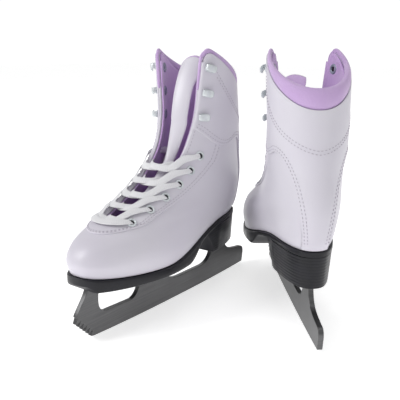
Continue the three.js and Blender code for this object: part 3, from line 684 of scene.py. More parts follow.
def material_of(key):
    """Each finish is made once, from the colours in the panel."""
    c = bpy.context.scene.skate_colours
    makers = {
        "vinyl": lambda: vinyl("Boot Vinyl", c.boot, c.boot_shade),
        "tongue": lambda: vinyl("Tongue Vinyl", c.boot, c.boot_shade, 1300.0),
        # the thread, like the lace, has painted shade in its weave grooves
        "thread": lambda: woven_tape("Sewing Thread", c.thread),
        "lining": lambda: brushed_cloth("Lilac Lining", c.lining, c.lining_shade),
        "collar": lambda: brushed_cloth("Lilac Collar", c.collar, c.lining_shade),
        "sock": lambda: brushed_cloth("Insole Sock", c.lining, c.boot_shade),
        "rubber": lambda: moulded_rubber("Black Sole", c.sole),
        "heel": lambda: moulded_rubber("Black Heel", c.sole),
        "steel": lambda: satin_steel("Blade Steel", c.blade),
        "trim": lambda: enamelled("Enamelled Trim", c.trim),
        "rivet": lambda: enamelled("Rivet Washer", c.rivet, 0.35),
        # painted shade: black finish for discs in the eyelet and rivet holes, which are dark only with
        # shade
        "painted_hole_shade": lambda: moulded_rubber("Painted Hole Shade", c.sole),
        "lace": lambda: woven_tape("Lace Tape", c.lace),
    }
    if key not in MATERIALS:
        MATERIALS[key] = makers[key]()
    return MATERIALS[key]


# ------------------------------------------------------------------ blade
def bezier(a, b, c, d, steps):
    """Points of a cubic Bezier curve after its first."""
    t = np.linspace(0, 1, steps + 1)[1:, None]
    a, b, c, d = (np.array(p, dtype=float) for p in (a, b, c, d))
    return (1 - t) ** 3 * a + 3 * (1 - t) ** 2 * t * b + 3 * (1 - t) * t ** 2 * c + t ** 3 * d


def blade_outline():
    """The blade's side view: a rocker of large radius with a short flat, saw-toothed picks on a
    slant at the front, three posts up to the boot, and a rounded tail."""
    b = BLADE
    x = np.concatenate([np.linspace(b["tail"] + 2, b["centre"] - b["flat"], 24),
                        np.linspace(b["centre"] + b["flat"], b["run_end"], 24)])
    off = np.maximum(0, np.abs(x - b["centre"]) - b["flat"])
    run = np.stack([x, b["rocker"] - np.sqrt(b["rocker"] ** 2 - off ** 2)], axis=-1)
    foot, tip = run[-1], np.array([b["length"], b["pick_top"]])
    away = np.array([tip[1] - foot[1], foot[0] - tip[0]])
    away = away / np.linalg.norm(away)
    teeth = []
    for i in range(b["picks"]):
        teeth.append(mix(foot, tip, (i + 0.55) / b["picks"]) + away * b["pick_base"])
        teeth.append(mix(foot, tip, (i + 1) / b["picks"]) - away * (b["pick_depth"] - b["pick_base"]))
    sole, heel = SOLE["bottom"] - GAP, HEEL["bottom"] - GAP
    (rb, rf), (mb, mf), (fb, ff) = POSTS["rear"], POSTS["middle"], POSTS["front"]
    web, tail, high, curve, n = b["web"], b["tail"], b["tail_height"], b["tail_round"], 18
    nose = (b["length"] - 1, b["pick_top"] + 3)
    curves = [
        [nose], bezier(nose, (b["length"] - 4, 28), (ff + 2, 34), (ff, sole), n), [(fb, sole)],
        bezier((fb, sole), (fb + 1, 30), (202, 20), (192, web), n), [(164, web - 1)],
        bezier((164, web - 1), (157, web), (mf, 24), (mf, sole), n), [(mb, sole)],
        bezier((mb, sole), (mb - 2, 26), (118, web + 1), (104, web), n), [(72, web)],
        bezier((72, web), (62, web), (rf, 22), (rf, heel), n), [(rb, heel)],
        bezier((rb, heel), (rb - 2, 22), (24, high + 2), (tail + curve, high), n),
        bezier((tail + curve, high), (tail + 2, high), (tail, high - 2), (tail, high - curve), 8),
    ]
    return np.concatenate([run, np.array(teeth)] + [np.array(c, dtype=float) for c in curves])


def blade_shape():
    """The outline set twice, half the blade's thickness to each side, with a face over each and
    quads between them."""
    outline = blade_outline()
    n, half = len(outline), BLADE["thickness"] / 2
    sides = [np.stack([outline[:, 0], np.full(n, y), outline[:, 1]], axis=-1) for y in (half, -half)]
    points = np.concatenate(sides)
    i, j = np.arange(n), np.roll(np.arange(n), -1)
    strip = np.stack([i, j, j + n, i + n], axis=-1).tolist()
    return points, strip + [list(range(n)), list(range(2 * n - 1, n - 1, -1))]


def make_blade(skate):
    points, faces = blade_shape()
    obj = build(f"{skate.name}_blade_steel", points, faces, skate, [material_of("steel")],
                uv=points[:, [0, 2]] * MM)
    bevel = obj.modifiers.new("Ground edges", "BEVEL")
    bevel.width, bevel.segments, bevel.limit_method, bevel.angle_limit = 0.22 * MM, 2, "ANGLE", 1.2
    bevel.harden_normals = False
    crease(obj, 0.5)
    return settle(obj, skate, "blade_steel", "blade")


# ------------------------------------------------------------------ sole unit, heel and insole
def sole_bottom(x):
    arch = smooth((SOLE["arch_from"] - x) / (SOLE["arch_from"] - SOLE["arch_to"]))
    toe = SOLE["toe_rise"] * smooth((x - SOLE["rise_from"]) / (LAST["toe"] - SOLE["rise_from"]))
    return mix(SOLE["bottom"] + toe, seat(x) - SOLE["arch_edge"], arch)


def foot_half(x, margin):
    """Half width of the boot's footprint, grown or shrunk by a margin."""
    low, high = BACK_X[0] - margin, FRONT_X[0] + margin
    t = np.clip((x - low) / (high - low), 0, 1)
    inner = half_width(t, np.zeros_like(t))
    return np.where(inner > 0, inner + margin * np.minimum(1, inner / 8), 0)


def rounded_slab(x, half, top, bottom, sides, square):
    """A slab along X whose sections are superellipses between its top and bottom heights."""
    a = circle(sides)
    y = half[:, None] * bent(np.cos(a), 2 / square)
    z = (top + bottom)[:, None] / 2 + (top - bottom)[:, None] / 2 * bent(np.sin(a), 2 / square)
    return closed_tube(np.stack([np.broadcast_to(x[:, None], y.shape), y, z], axis=-1))


def make_outsole(skate):
    x = mix(BACK_X[0] - SOLE["welt"], FRONT_X[0] + SOLE["welt"], swing(np.linspace(0, 1, 150)))
    half = np.maximum(foot_half(x, SOLE["welt"]), 0.01)
    points, faces = rounded_slab(x, half, seat(x) - GAP, sole_bottom(x), 48, 9)
    obj = build(f"{skate.name}_outsole_unit", points, faces, skate, [material_of("rubber")])
    return settle(obj, skate, "sole_black", "outsole")


def make_insole(skate):
    inset = INSOLE["inset"]
    x = mix(BACK_X[0] + inset, FRONT_X[0] - inset, swing(np.linspace(0, 1, 90)))
    half = np.maximum(foot_half(x, -inset), 0.01)
    points, faces = rounded_slab(x, half, seat(x) + INSOLE["thickness"], seat(x), 40, 6)
    obj = build(f"{skate.name}_insole_sock", points, faces, skate, [material_of("sock")])
    return settle(obj, skate, "insole_board", "insole")


def heel_outline():
    """Half the foot's outline from the back to the heel's front, its mirror image, and between them
    a front face with rounded corners. The last value of each point is 1 on that face."""
    h = HEEL
    back = BACK_X[0] - SOLE["welt"] + h["inset"]
    x = back + (h["front"] - back) * (1 - np.cos(np.linspace(0, np.pi / 2, 46)))
    y = np.minimum(foot_half(x, SOLE["welt"] - h["inset"]), h["half"])
    across = np.cos(np.linspace(0, np.pi, 19))[1:-1]
    face_x = h["front"] + h["bulge"] * (1 - np.abs(across) ** 5)
    xs = np.concatenate([x, face_x, x[:0:-1]])
    ys = np.concatenate([y, y[-1] * across, -y[:0:-1]])
    face = np.concatenate([np.zeros(len(x) - 1), np.ones(len(across) + 2), np.zeros(len(x) - 2)])
    return xs, ys, face


def make_heel(skate):
    """The outline is carried from the bottom to the sole. It grows by the taper, its front leans
    forwards by a power of the height, and fine ridges run round its back and sides."""
    h = HEEL
    pitch = bpy.context.scene.skate_sizes.ridge_pitch
    xs, ys, face = heel_outline()
    up = np.concatenate([[0, 0.006, 0.016], np.linspace(0.03, 1, 84)])[:, None]
    ahead = smooth(((xs - h["back"]) / (h["front"] - h["back"]) - 0.8) / 0.2)
    shrink = 1 - (h["taper"] / h["half"]) * (1 - up)
    rise = h["bottom"] + up * (LAST["seat_heel"] - SOLE["arch_edge"] - h["bottom"])
    groove = -h["ridge"] * (1 - np.abs(np.sin(np.pi * rise / pitch)) ** 0.5) * (1 - face)
    edge = groove - h["bottom_round"] * (1 - arc(up / 0.03))
    out = unit(np.stack([xs - (h["back"] + h["front"]) / 2, ys], axis=-1))
    lean = h["taper"] * (1 - ahead) * (1 - up) * 0.6 + ahead * h["breast"] * up ** 1.5
    x = xs + lean + edge * out[:, 0]
    y = ys * shrink + edge * out[:, 1]
    z = mix(h["bottom"], sole_bottom(x) - GAP, up)
    points, faces = closed_tube(np.stack([x, y, z], axis=-1))
    obj = build(f"{skate.name}_heel_block", points, faces, skate, [material_of("heel")])
    crease(obj, 0.9)
    return settle(obj, skate, "heel_black", "heel")


# ------------------------------------------------------------------ shell, lining, stay and cuff
def sleeve(rows, columns, outer, inner, low=0.0):
    """The wall all round the foot between two offsets. Rows climb from the sole to the collar and
    columns run round from the front edge to the front edge. Below the throat the ends meet."""
    share = np.linspace(0, 1, rows)[:, None]
    around = np.linspace(1, -1, columns)[None, :]
    v = mix(low, 1, share) * np.ones_like(around)
    for _ in range(2):
        edge = np.where(v <= THROAT["stay"], 1, facing_edge(np.maximum(v, THROAT["stay"])) + 0.004)
        s = around * np.minimum(edge, 1)
        v = mix(low, 1, share) * mix(1, top_edge(s), smooth((share - 0.6) / 0.4))
    joined = v[:, 0] <= THROAT["stay"]
    s = np.where(v <= THROAT["stay"], np.broadcast_to(around, v.shape), s)
    return point(s, v, outer), point(s, v, inner), joined


def make_shell(skate):
    outer, inner, joined = sleeve(150, 150, 0.0, -UPPER["shell"])
    points, faces = two_walls(outer, inner, joined)
    obj = build(f"{skate.name}_boot_shell", points, faces, skate, [material_of("vinyl")], weld=True)
    return settle(obj, skate, "boot_vinyl", "upper_shell")


def make_lining(skate):
    high = -UPPER["shell"] - GAP
    outer, inner, joined = sleeve(110, 120, high, high - UPPER["lining"], 0.02)
    points, faces = two_walls(outer, inner, joined)
    obj = build(f"{skate.name}_boot_lining", points, faces, skate, [material_of("lining")], weld=True)
    return settle(obj, skate, "collar_lining", "lining")


def stay_place(way, share):
    """The eyelet stay's own grid: way runs round the U from one top to the other, and share across
    it from the facing's edge outwards. Gives s and v."""
    along = np.abs(way)
    round_ = 1 - np.cos(np.pi / 2 * np.minimum(1, along / THROAT["turn"]))
    straight = np.maximum(0, along - THROAT["turn"]) / (1 - THROAT["turn"])
    top = THROAT["stay_top"] + THROAT["tucked"]
    inner = mix(THROAT["stay"] + THROAT["inner_round"] * round_, top, straight)
    outer = mix(THROAT["shell"] + THROAT["outer_round"] * round_, top - THROAT["slant"], straight)
    v = mix(inner, outer, share)
    s = mix(facing_edge(inner), stay_edge(outer), share)
    return np.where(way == 0, 1.0, np.sign(way) * np.minimum(s, 1)), v


def make_stay(skate):
    way = np.linspace(-1, 1, 181)[None, :]
    share = (1 - eased(26))[:, None]
    s, v = stay_place(way, share)
    base = surface(s, v)
    border = np.concatenate([base[0], base[-1], base[:, 0], base[:, -1]])
    rise = edge_roll(base, border, 0.9)
    outer = point(s, v, mix(0.05, UPPER["overlay"], rise))
    inner = point(s, v, -UPPER["shell"] - 0.2)
    points, faces = two_walls(outer, inner)
    obj = build(f"{skate.name}_lace_facing", points, faces, skate, [material_of("vinyl")])
    return settle(obj, skate, "boot_vinyl", "eyelet_stay")


def cuff_columns():
    """Columns round the cuff, close together where its edge climbs from the backstay."""
    narrow = np.linspace(0, CUFF["stay_half"], 10)
    climb = mix(CUFF["stay_half"], CUFF["flare"], np.linspace(0, 1, 46)[1:] ** CUFF["sweep"])
    side = mix(CUFF["flare"], 1.0, np.linspace(0, 1, 40)[1:])
    half = np.concatenate([narrow, climb, side])
    return np.concatenate([half[::-1], -half[1:]])


def cuff_place(s, share):
    """s is stretched so that its last column lies on the facing's edge."""
    v = mix(cuff_low(s), top_edge(s), share)
    for _ in range(2):
        edge = facing_edge(v) - 0.003
        near = smooth((np.abs(s) - CUFF["flare"]) / (1 - CUFF["flare"]))
        t = s * mix(1, edge, near)
        v = mix(cuff_low(t), top_edge(t), share)
    return t, v


def make_cuff(skate):
    s, v = cuff_place(cuff_columns()[None, :], eased(64)[:, None])
    base = surface(s, v)
    border = np.concatenate([base[0], base[:, 0], base[:, -1]])
    rise = edge_roll(base, border, 1.1)
    lift = CUFF["lift"]
    outer = point(s, v, lift + mix(0.0, UPPER["overlay"], rise))
    inner = point(s, v, lift - CUFF["depth"])
    points, faces = two_walls(outer, inner)
    obj = build(f"{skate.name}_ankle_panel", points, faces, skate, [material_of("vinyl")])
    return settle(obj, skate, "boot_vinyl", "ankle_cuff")


# ------------------------------------------------------------------ collar roll
def collar_path():
    """The roll's middle line from one facing, over the peak, round the back and down the other
    facing, with its height, thickness and two directions at each point."""
    reach = COLLAR_SIDE - 0.012
    s = np.sin(np.linspace(1, -1, 170) * np.pi / 2) * reach
    out, edge = normal(s, np.full(s.shape, 0.99)), rim(s)
    up = unit(surface(s, edge) - surface(s, edge - 0.05))
    high = roll_height(s)
    full = (high - COLLAR["peak"]) / (COLLAR["back"] - COLLAR["peak"])
    high = high + COLLAR["overlap"]
    thick = mix(COLLAR["thin"], COLLAR["thickness"], full)
    middle = surface(s, edge) + up * (0.6 - high / 2)[:, None] + out * (-0.9 - 0.5 * full)[:, None]
    drop = np.linspace(0, 1, 34)[1:]
    v = mix(float(rim(np.array(reach))) - 0.01, COLLAR["flap_end"], drop)
    ends = []
    for side in (1, -1):
        at = side * (facing_edge(v) + 0.002)
        place = point(at, v, -0.6)
        n = normal(at, v)
        away = unit(surface(at - side * 0.02, v) - surface(at, v))
        ends.append((place, n, -away, np.full(v.shape, COLLAR["flap_high"]),
                     np.full(v.shape, COLLAR["flap_thick"])))
    first = [e[::-1] for e in ends[0]]
    rolled = (middle, out, up, high, thick)
    return [np.concatenate(parts) for parts in zip(first, rolled, ends[1])]


def make_collar(skate):
    """Each section is an oval, flatter inside, with faint puckers along the seam under it."""
    middle, out, up, high, thick = collar_path()
    for _ in range(6):
        for values in (middle, high, thick):
            values[1:-1] = neighbours(values) / 4
        for directions in (out, up):
            directions[1:-1] = unit(neighbours(directions))
    way = np.arange(len(middle))
    a = circle(36)[None, :]
    low = np.clip(-np.sin(a), 0, 1)
    pucker = 1 + 0.018 * np.sin(way * 1.7)[:, None] * low * (high / COLLAR["back"])[:, None]
    ends = arc(np.minimum(way, way[::-1]) / 5)[:, None]
    wide = (thick / 2)[:, None] * bent(np.cos(a), 0.85) * pucker * ends
    tall = (high / 2)[:, None] * np.sin(a) * ends
    rings = middle[:, None] + out[:, None] * wide[..., None] + up[:, None] * tall[..., None]
    points, faces = closed_tube(rings)
    obj = build(f"{skate.name}_collar_pad", points, faces, skate, [material_of("collar")])
    return settle(obj, skate, "collar_lining", "collar_roll")


# ------------------------------------------------------------------ tongue
FOLD = point(np.array(1.0), np.array(TONGUE["split"]), -UPPER["shell"] - TONGUE["under"])


def turn_y(points, middle, angle):
    """Points turned about the Y direction through a middle point, forwards for a positive angle."""
    c, s = np.cos(angle), np.sin(angle)
    x, z = points[..., 0] - middle[0], points[..., 2] - middle[2]
    return np.stack([middle[0] + x * c + z * s, points[..., 1], middle[2] - x * s + z * c], axis=-1)


def tongue_sections(lean):
    """The tongue's middle sheet at a few places along it, each as a row of points across. The lower
    ones follow the boot under the facings, and the upper ones stand free and bow forwards."""
    across = np.linspace(0, 1, 15)
    depth = -UPPER["shell"] - TONGUE["under"]
    sections = []
    for v in np.linspace(TONGUE["start"], TONGUE["split"] - 0.05, 9):
        reach = min(TONGUE["outer"], float(facing_half(v)) + TONGUE["past"])
        reach = reach * float(smooth((v - TONGUE["start"] + 0.06) / 0.06))
        drawn_in = float(smooth((v - TONGUE["neck_from"]) / TONGUE["neck_over"]))
        reach = mix(reach, min(reach, TONGUE["neck"]), drawn_in)
        y = mix(TONGUE["inner"], reach, across)
        s = np.where(np.abs(y) < 1e-9, 1.0, np.sign(y) * at_half(np.abs(y), np.full(y.shape, v)))
        sections.append(point(s, v, depth))
    foot = FOLD + [0, 0, TONGUE["thickness"] * 0.95]
    head = np.array([TONGUE["top_x"], 0, TONGUE["top"]])
    up = head - foot
    out = unit(np.array([up[2], 0, -up[0]]))
    for rise in np.linspace(0.12, 1, 10):
        crown = TONGUE["crown"] * (2 * across - 1) ** 2 * smooth((rise - 0.6) / 0.4)
        spread = float(smooth((rise - TONGUE["spread_from"]) / (1 - TONGUE["spread_from"])))
        wrap = mix(TONGUE["wrap_low"], TONGUE["wrap"], spread)
        bow = TONGUE["bow"] * np.sin(np.pi * rise) - wrap * across ** 2
        row = foot + up * (rise * (1 - crown))[:, None] + out * bow[:, None]
        inner = mix(TONGUE["inner"], TONGUE["top_inner"], rise)
        row[:, 1] = mix(inner, mix(TONGUE["neck"], TONGUE["top_outer"], spread), across)
        sections.append(turn_y(row, FOLD, lean * float(smooth(rise / 0.3 + 0.35))))
    return np.array(sections)


def drawn(sheet, places):
    """The points or directions of a sheet, read off along its first direction by smooth curves."""
    shape = (sheet.shape[1], len(places))
    return np.stack([through(np.broadcast_to(sheet[..., k][:, :, None], (len(sheet),) + shape),
                             np.broadcast_to(places, shape)) for k in range(3)], axis=-1)


def make_tongue(skate):
    """The sheet is thickened into a pad: round a loop of angles, the place across follows the
    cosine and the height above the sheet a power of the sine, so its edges are full and round."""
    sections = tongue_sections(TONGUE_LEAN[skate.name])
    rows, around = 96, 56
    along = np.linspace(0, 1, rows)
    a = circle(around)
    across = 0.5 - 0.5 * bent(np.cos(a), 0.9)
    grid = drawn(sections, along)
    sheet = drawn(grid, across)
    lifts = drawn(unit(np.cross(np.gradient(grid, axis=0), np.gradient(grid, axis=1))), across)
    ends = arc(np.minimum(along, 1 - along) / 0.025)[:, None]
    height = TONGUE["thickness"] / 2 * bent(np.sin(a), 0.6)
    rings = sheet + lifts * (height * ends)[..., None]
    points, faces = closed_tube(rings)
    slots = np.zeros(len(faces), dtype=int)
    body_faces = (rows - 1) * around
    ring_face = np.tile(np.arange(around), rows - 1)
    facing = np.sin(a + np.pi / around)[ring_face]
    front = facing * np.sign(lifts[rows // 2, around // 4, 0] or 1.0)
    row_of = np.repeat(np.arange(rows - 1), around) / rows
    slots[:body_faces] = np.where((front < 0.12) | (row_of > 0.965), 1, 0)
    slots[body_faces:] = 1
    obj = build(f"{skate.name}_tongue_pad", points, faces, skate,
                [material_of("tongue"), material_of("collar")], slots=slots)
    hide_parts(f"{skate.name}_tongue_base", f"{skate.name}_tongue_top")
    below = sections[7].mean(axis=0)
    above = sections[11].mean(axis=0)
    start, end = skate.row(below), skate.row(above)
    tuple(start)
    tuple(end)
    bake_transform(obj)
    return obj


# ------------------------------------------------------------------ eyelets and hooks
def eyelet_slice(index):
    return mix(EYELET["first"], EYELET["last"], index / (EYELET["count"] - 1))


def eyelet_place(index, side):
    v = np.array(eyelet_slice(index), dtype=float)
    half = np.maximum(facing_half(v), THROAT["half"]) + EYELET["from_edge"] * EYELET["width_seen"]
    return side * at_half(half, v), v


def local_axes(s, v):
    """Two directions in the surface, forwards round the boot and up it, and the one out of it."""
    out = normal(s, v)
    up = unit(surface(s, np.minimum(1, v + 0.01)) - surface(s, v - 0.01))
    up = unit(up - out * (up * out).sum(axis=-1, keepdims=True))
    return np.stack([np.cross(up, out), up, out], axis=-2)


def lathe(profile, sides):
    """A closed ring from a closed profile of radius and height pairs."""
    a = circle(sides)[:, None]
    r, z = np.array(profile, dtype=float).T
    rings = np.stack([r * np.cos(a), r * np.sin(a), z + 0 * a], axis=-1)
    ids = np.arange(rings.shape[0] * rings.shape[1]).reshape(rings.shape[:2])
    ids = np.pad(ids, ((0, 1), (0, 1)), mode="wrap")
    faces = np.stack([ids[:-1, :-1], ids[1:, :-1], ids[1:, 1:], ids[:-1, 1:]], axis=-1).reshape(-1, 4)
    return rings.reshape(-1, 3), faces


def rolled_ring(outer, hole, low, lift, height, steps=7):
    """Profile of an eyelet: a tube down to low and a flange whose upper side is half an oval."""
    a = np.linspace(0, np.pi, steps + 2)
    middle, wide = (outer + hole) / 2, (outer - hole) / 2
    crown = [(middle + wide * np.cos(t), lift + height * np.sin(t)) for t in a]
    wall = hole + EYELET["wall"]
    return crown + [(hole, low), (wall, low), (wall, lift - 0.02)]


def make_eyelets(skate):
    e = EYELET
    ring = lathe(rolled_ring(e["outer"], e["hole"], -e["barrel"], e["lift"], e["flange"]), 32)
    sites = [eyelet_place(i, side) for side in (1, -1) for i in range(e["count"])]
    s, v = (np.array(values) for values in zip(*sites))
    frames = (point(s, v, UPPER["overlay"]), local_axes(s, v))
    obj = build(f"{skate.name}_eyelet_rings", *repeat(*ring, frames), skate, [material_of("trim")])
    names = [f"eyelet_{word}{i + 1}" for word in "ab" for i in range(EYELET["count"])]
    settle(obj, skate, "trim_metal", *names)
    # painted shade: a black disc sits in each eyelet's hole, where the hole is dark only with shade
    shade_discs = repeat(*button(e["hole"] + 0.2, 0.12), frames)
    obj = build(f"{skate.name}_eyelet_wells", *shade_discs, skate, [material_of("painted_hole_shade")])
    return settle(obj, skate, "trim_metal")


def hook_strip():
    """A speed hook: a strip that lies on the flap, turns up in a round bend towards the facing's
    edge and comes back over itself to a flared, rounded lip."""
    bend = np.linspace(-np.pi / 2, np.pi / 2, 15)
    path = [(x, HOOK["thickness"] / 2) for x in (-4.6, -4.0, -2.0, 0.0, 1.6)]
    path += [(2.6 + 2.0 * math.cos(t), 2.5 + 2.0 * math.sin(t)) for t in bend]
    path += [(1.4, 4.5), (-0.4, 4.4), (-1.8, 4.5), (-2.8, 5.0), (-3.3, 5.5)]
    path = np.array(path)
    span = np.linspace(0, 1, len(path))
    shares = ((0, 0.55), (0.06, 0.95), (0.2, 1), (0.35, 0.8), (0.65, 0.7), (0.8, 0.82), (0.92, 0.95),
              (1, 0.5))
    wide = HOOK["width"] * np.interp(span, *zip(*shares))
    ahead = unit(np.gradient(path, axis=0))
    out = np.stack([-ahead[:, 1], ahead[:, 0]], axis=-1)
    a = circle(16)
    y = wide[:, None] / 2 * bent(np.cos(a), 0.5)
    t = HOOK["thickness"] / 2 * bent(np.sin(a), 0.6)
    x = path[:, :1] + out[:, :1] * t
    z = path[:, 1:] + out[:, 1:] * t
    return closed_tube(np.stack([x, y, z], axis=-1))


def button(radius, height, sides=24):
    """A low domed rivet head: rings whose height follows a quarter of an ellipse."""
    t = np.linspace(0, 1, 6)
    a = circle(sides)
    r = np.concatenate([[radius], radius * (1 - t[:-1] ** 2 * 0.98)])
    z = np.concatenate([[-0.4], height * arc(t[:-1])])
    rings = np.stack([r[:, None] * np.cos(a), r[:, None] * np.sin(a), z[:, None] + 0 * a], axis=-1)
    return closed_tube(rings)


def hook_sites():
    v = np.tile(mix(HOOK["first"], HOOK["last"], np.linspace(0, 1, HOOK["count"])), 2)
    side = np.repeat([1.0, -1.0], HOOK["count"])
    return side * (facing_edge(v) - HOOK["inset"]), v, side


def make_hooks(skate):
    s, v, side = hook_sites()
    axes = local_axes(s, v)
    forward = unit(surface(s + side * 0.02, v) - surface(s, v))
    out = axes[:, 2]
    forward = unit(forward - out * (forward * out).sum(axis=-1, keepdims=True))
    frames = np.stack([forward, np.cross(out, forward), out], axis=1)
    place = point(s, v, CUFF["lift"] + UPPER["overlay"])
    back_to_head = forward * HOOK["head_back"]
    strip = repeat(*hook_strip(), (place, frames))
    head = repeat(*button(HOOK["head"], 0.7), (place + out * HOOK["thickness"] - back_to_head, frames))
    obj = build(f"{skate.name}_speed_hooks", *merge([strip, head]), skate, [material_of("trim")])
    names = [f"hook_{word}{i + 1}" for word in "ab" for i in range(HOOK["count"])]
    settle(obj, skate, "trim_metal", *names)
    inside = point(s, v, -UPPER["shell"] - GAP - UPPER["lining"]) - back_to_head
    behind = (inside, np.stack([frames[:, 0], -frames[:, 1], -frames[:, 2]], axis=1))
    washer = lathe(rolled_ring(HOOK["washer"], HOOK["washer_hole"], -1.0, 0.0, 0.8), 28)
    # painted shade: a black disc in each washer's hole, where the rivet's hollow is dark only with shade
    painted_hole_shade = button(HOOK["head"], 0.15)
    for name, shape, finish in (("rivet_washers", washer, "rivet"), ("rivet_painted_shade", painted_hole_shade, "painted_hole_shade")):
        obj = build(f"{skate.name}_{name}", *repeat(*shape, behind), skate, [material_of(finish)])
        settle(obj, skate, "trim_metal")
    return obj


# ------------------------------------------------------------------ lace
def lace_route(half_thick):
    """The lace's route, chosen point by point: from an end tucked inside the boot, down one side in
    turns, across the bottom and back up the other side. Each run goes over one facing into an eyelet
    from outside, and comes up under the other. Gives places, bend axes and how gathered it is."""
    over = UPPER["overlay"] + EYELET["lift"] + EYELET["flange"] + half_thick + LACE["clear"]
    sunk = UPPER["overlay"] + LACE["sunk"]
    under = -UPPER["shell"] - GAP - half_thick
    rows = []

    def add(s, v, offset, gathered=0.0):
        s, v = np.array(float(s)), np.array(float(v))
        rows.append((point(s, v, offset), normal(s, v), gathered))

    def eye(index, side, offset, gathered=1.0):
        s, v = eyelet_place(index, side)
        add(s, v, offset, gathered)

    def in_gap(index, side, share, offset):
        v = mix(eyelet_slice(index), eyelet_slice(index + 1), 0.5 - side * share * 0.22)
        half = abs(share) * float(facing_half(v))
        s = 1.0 if share == 0 else math.copysign(float(at_half(half, v)), share)
        add(s, v, offset)

    def tucked(side):
        s, v = eyelet_place(EYELET["count"] - 1, side)
        inside = -UPPER["shell"] - UPPER["lining"] - 5 * GAP - half_thick
        for back, down, deeper in ((0.11, 0.13, -1.2), (0.1, 0.07, -0.8), (0.09, 0.02, -0.4), (0.05, 0, 0)):
            add(side * (abs(s) - back), v - down, inside + deeper)

    def cross(index, side, high):
        centre = half_thick + 0.45 if high else -half_thick - 0.45
        eye(index + 1, side, sunk)
        s, v = eyelet_place(index + 1, side)
        edge = float(facing_edge(v - 0.012))
        add(side * mix(abs(float(s)), edge, 0.42), v - 0.005, over + 0.1, 0.6)
        add(side * mix(abs(float(s)), edge, 0.75), v - 0.009, over, 0.1)
        in_gap(index, side, side * 0.9, over - 0.8)
        in_gap(index, side, side * 0.45, mix(over, centre, 0.6))
        in_gap(index, side, 0, centre)
        in_gap(index, side, -side * 0.45, mix(under, centre, 0.6))
        in_gap(index, side, -side * 0.9, under)
        eye(index, -side, under)

    def run(start):
        tucked(start)
        eye(EYELET["count"] - 1, start, under)
        side = start
        for i in range(EYELET["count"] - 2, -1, -1):
            cross(i, side, start > 0)
            side = -side
        return side

    last = run(1)
    eye(0, last, sunk)
    for share in (0.7, 0.35, 0, -0.35, -0.7):
        s, v = eyelet_place(0, 1)
        half = abs(share) * float(surface(s, v)[1])
        at = 1.0 if share == 0 else math.copysign(float(at_half(half, v)), share * last)
        add(at, v, over + GAP)
    eye(0, -last, sunk)
    kept = len(rows)
    run(-1)
    rows[kept:] = rows[kept:][::-1]
    place, out, gathered = (np.array(values) for values in zip(*rows))
    apart = np.concatenate([[True], np.linalg.norm(np.diff(place, axis=0), axis=-1) > 0.4])
    return place[apart], out[apart], gathered[apart]


def lace_rings(width, thick):
    """The route drawn as a smooth curve with a step about every millimetre. The tape's width lies
    at right angles to the curve and to the boot, and narrows where an eyelet gathers it."""
    place, out, gathered = lace_route(thick / 2)
    steps = run_along(place, 0.5)
    fine = np.linspace(0, steps[-1], 1500)
    i = np.clip(np.searchsorted(steps, fine, side="right") - 1, 0, len(steps) - 2)
    f = ((fine - steps[i]) / (steps[i + 1] - steps[i]))[:, None]
    slope = np.gradient(place, steps, axis=0)
    h = (steps[i + 1] - steps[i])[:, None]
    line = ((1 + 2 * f) * (1 - f) ** 2 * place[i] + f * (1 - f) ** 2 * h * slope[i]
            + f ** 2 * (3 - 2 * f) * place[i + 1] + f ** 2 * (f - 1) * h * slope[i + 1])
    length = run_along(line)
    even = np.linspace(0, length[-1], int(length[-1] / LACE["step"]))
    line = sample(even, length, line)
    knots = np.interp(even, length, fine)
    n = unit(sample(knots, steps, out))
    tight = np.interp(knots, steps, gathered)
    for _ in range(3):
        line[1:-1] = neighbours(line) / 4
    ahead = unit(np.gradient(line, axis=0))
    order = np.arange(len(line))
    chord = line[np.minimum(order + 9, len(line) - 1)] - line[np.maximum(order - 9, 0)]
    across = unit(np.cross(n, chord))
    for _ in range(8):
        across[1:-1] = unit(neighbours(across))
    across = unit(across - ahead * (across * ahead).sum(axis=-1, keepdims=True))
    lift = np.cross(ahead, across)
    a, tight = circle(16), smooth(tight)[:, None]
    wide = width / 2 * mix(1, LACE["gathered"], tight) * bent(np.cos(a), 0.8)
    tall = thick / 2 * mix(1, LACE["swollen"], tight) * bent(np.sin(a), 0.7)
    rings = line[:, None] + across[:, None] * wide[..., None] + lift[:, None] * tall[..., None]
    return rings, even, wide


def make_lace(skate):
    sizes = bpy.context.scene.skate_sizes
    rings, even, wide = lace_rings(sizes.lace_width, sizes.lace_thickness)
    points, faces = closed_tube(rings)
    uv = np.stack([np.broadcast_to(even[:, None], wide.shape), wide], axis=-1).reshape(-1, 2) * MM
    uv = np.concatenate([uv, uv[:1], uv[-1:]])
    obj = build(f"{skate.name}_lace_tape", points, faces, skate, [material_of("lace")], uv=uv)
    return settle(obj, skate, "lace_cotton", "lace")


# ------------------------------------------------------------------ stitching
def capsule(length, radius):
    """One stitch along X: rings of six points that dip into the leather at both ends."""
    t = np.linspace(-1, 1, 7)
    a = circle(6)
    r = radius * np.sqrt(np.maximum(0.04, 1 - t ** 4))
    z = radius * 0.5 - radius * 1.6 * t ** 4
    rings = np.stack([np.broadcast_to((t * length / 2)[:, None], (7, 6)), r[:, None] * np.cos(a),
                      z[:, None] + r[:, None] * np.sin(a)], axis=-1)
    return closed_tube(rings)


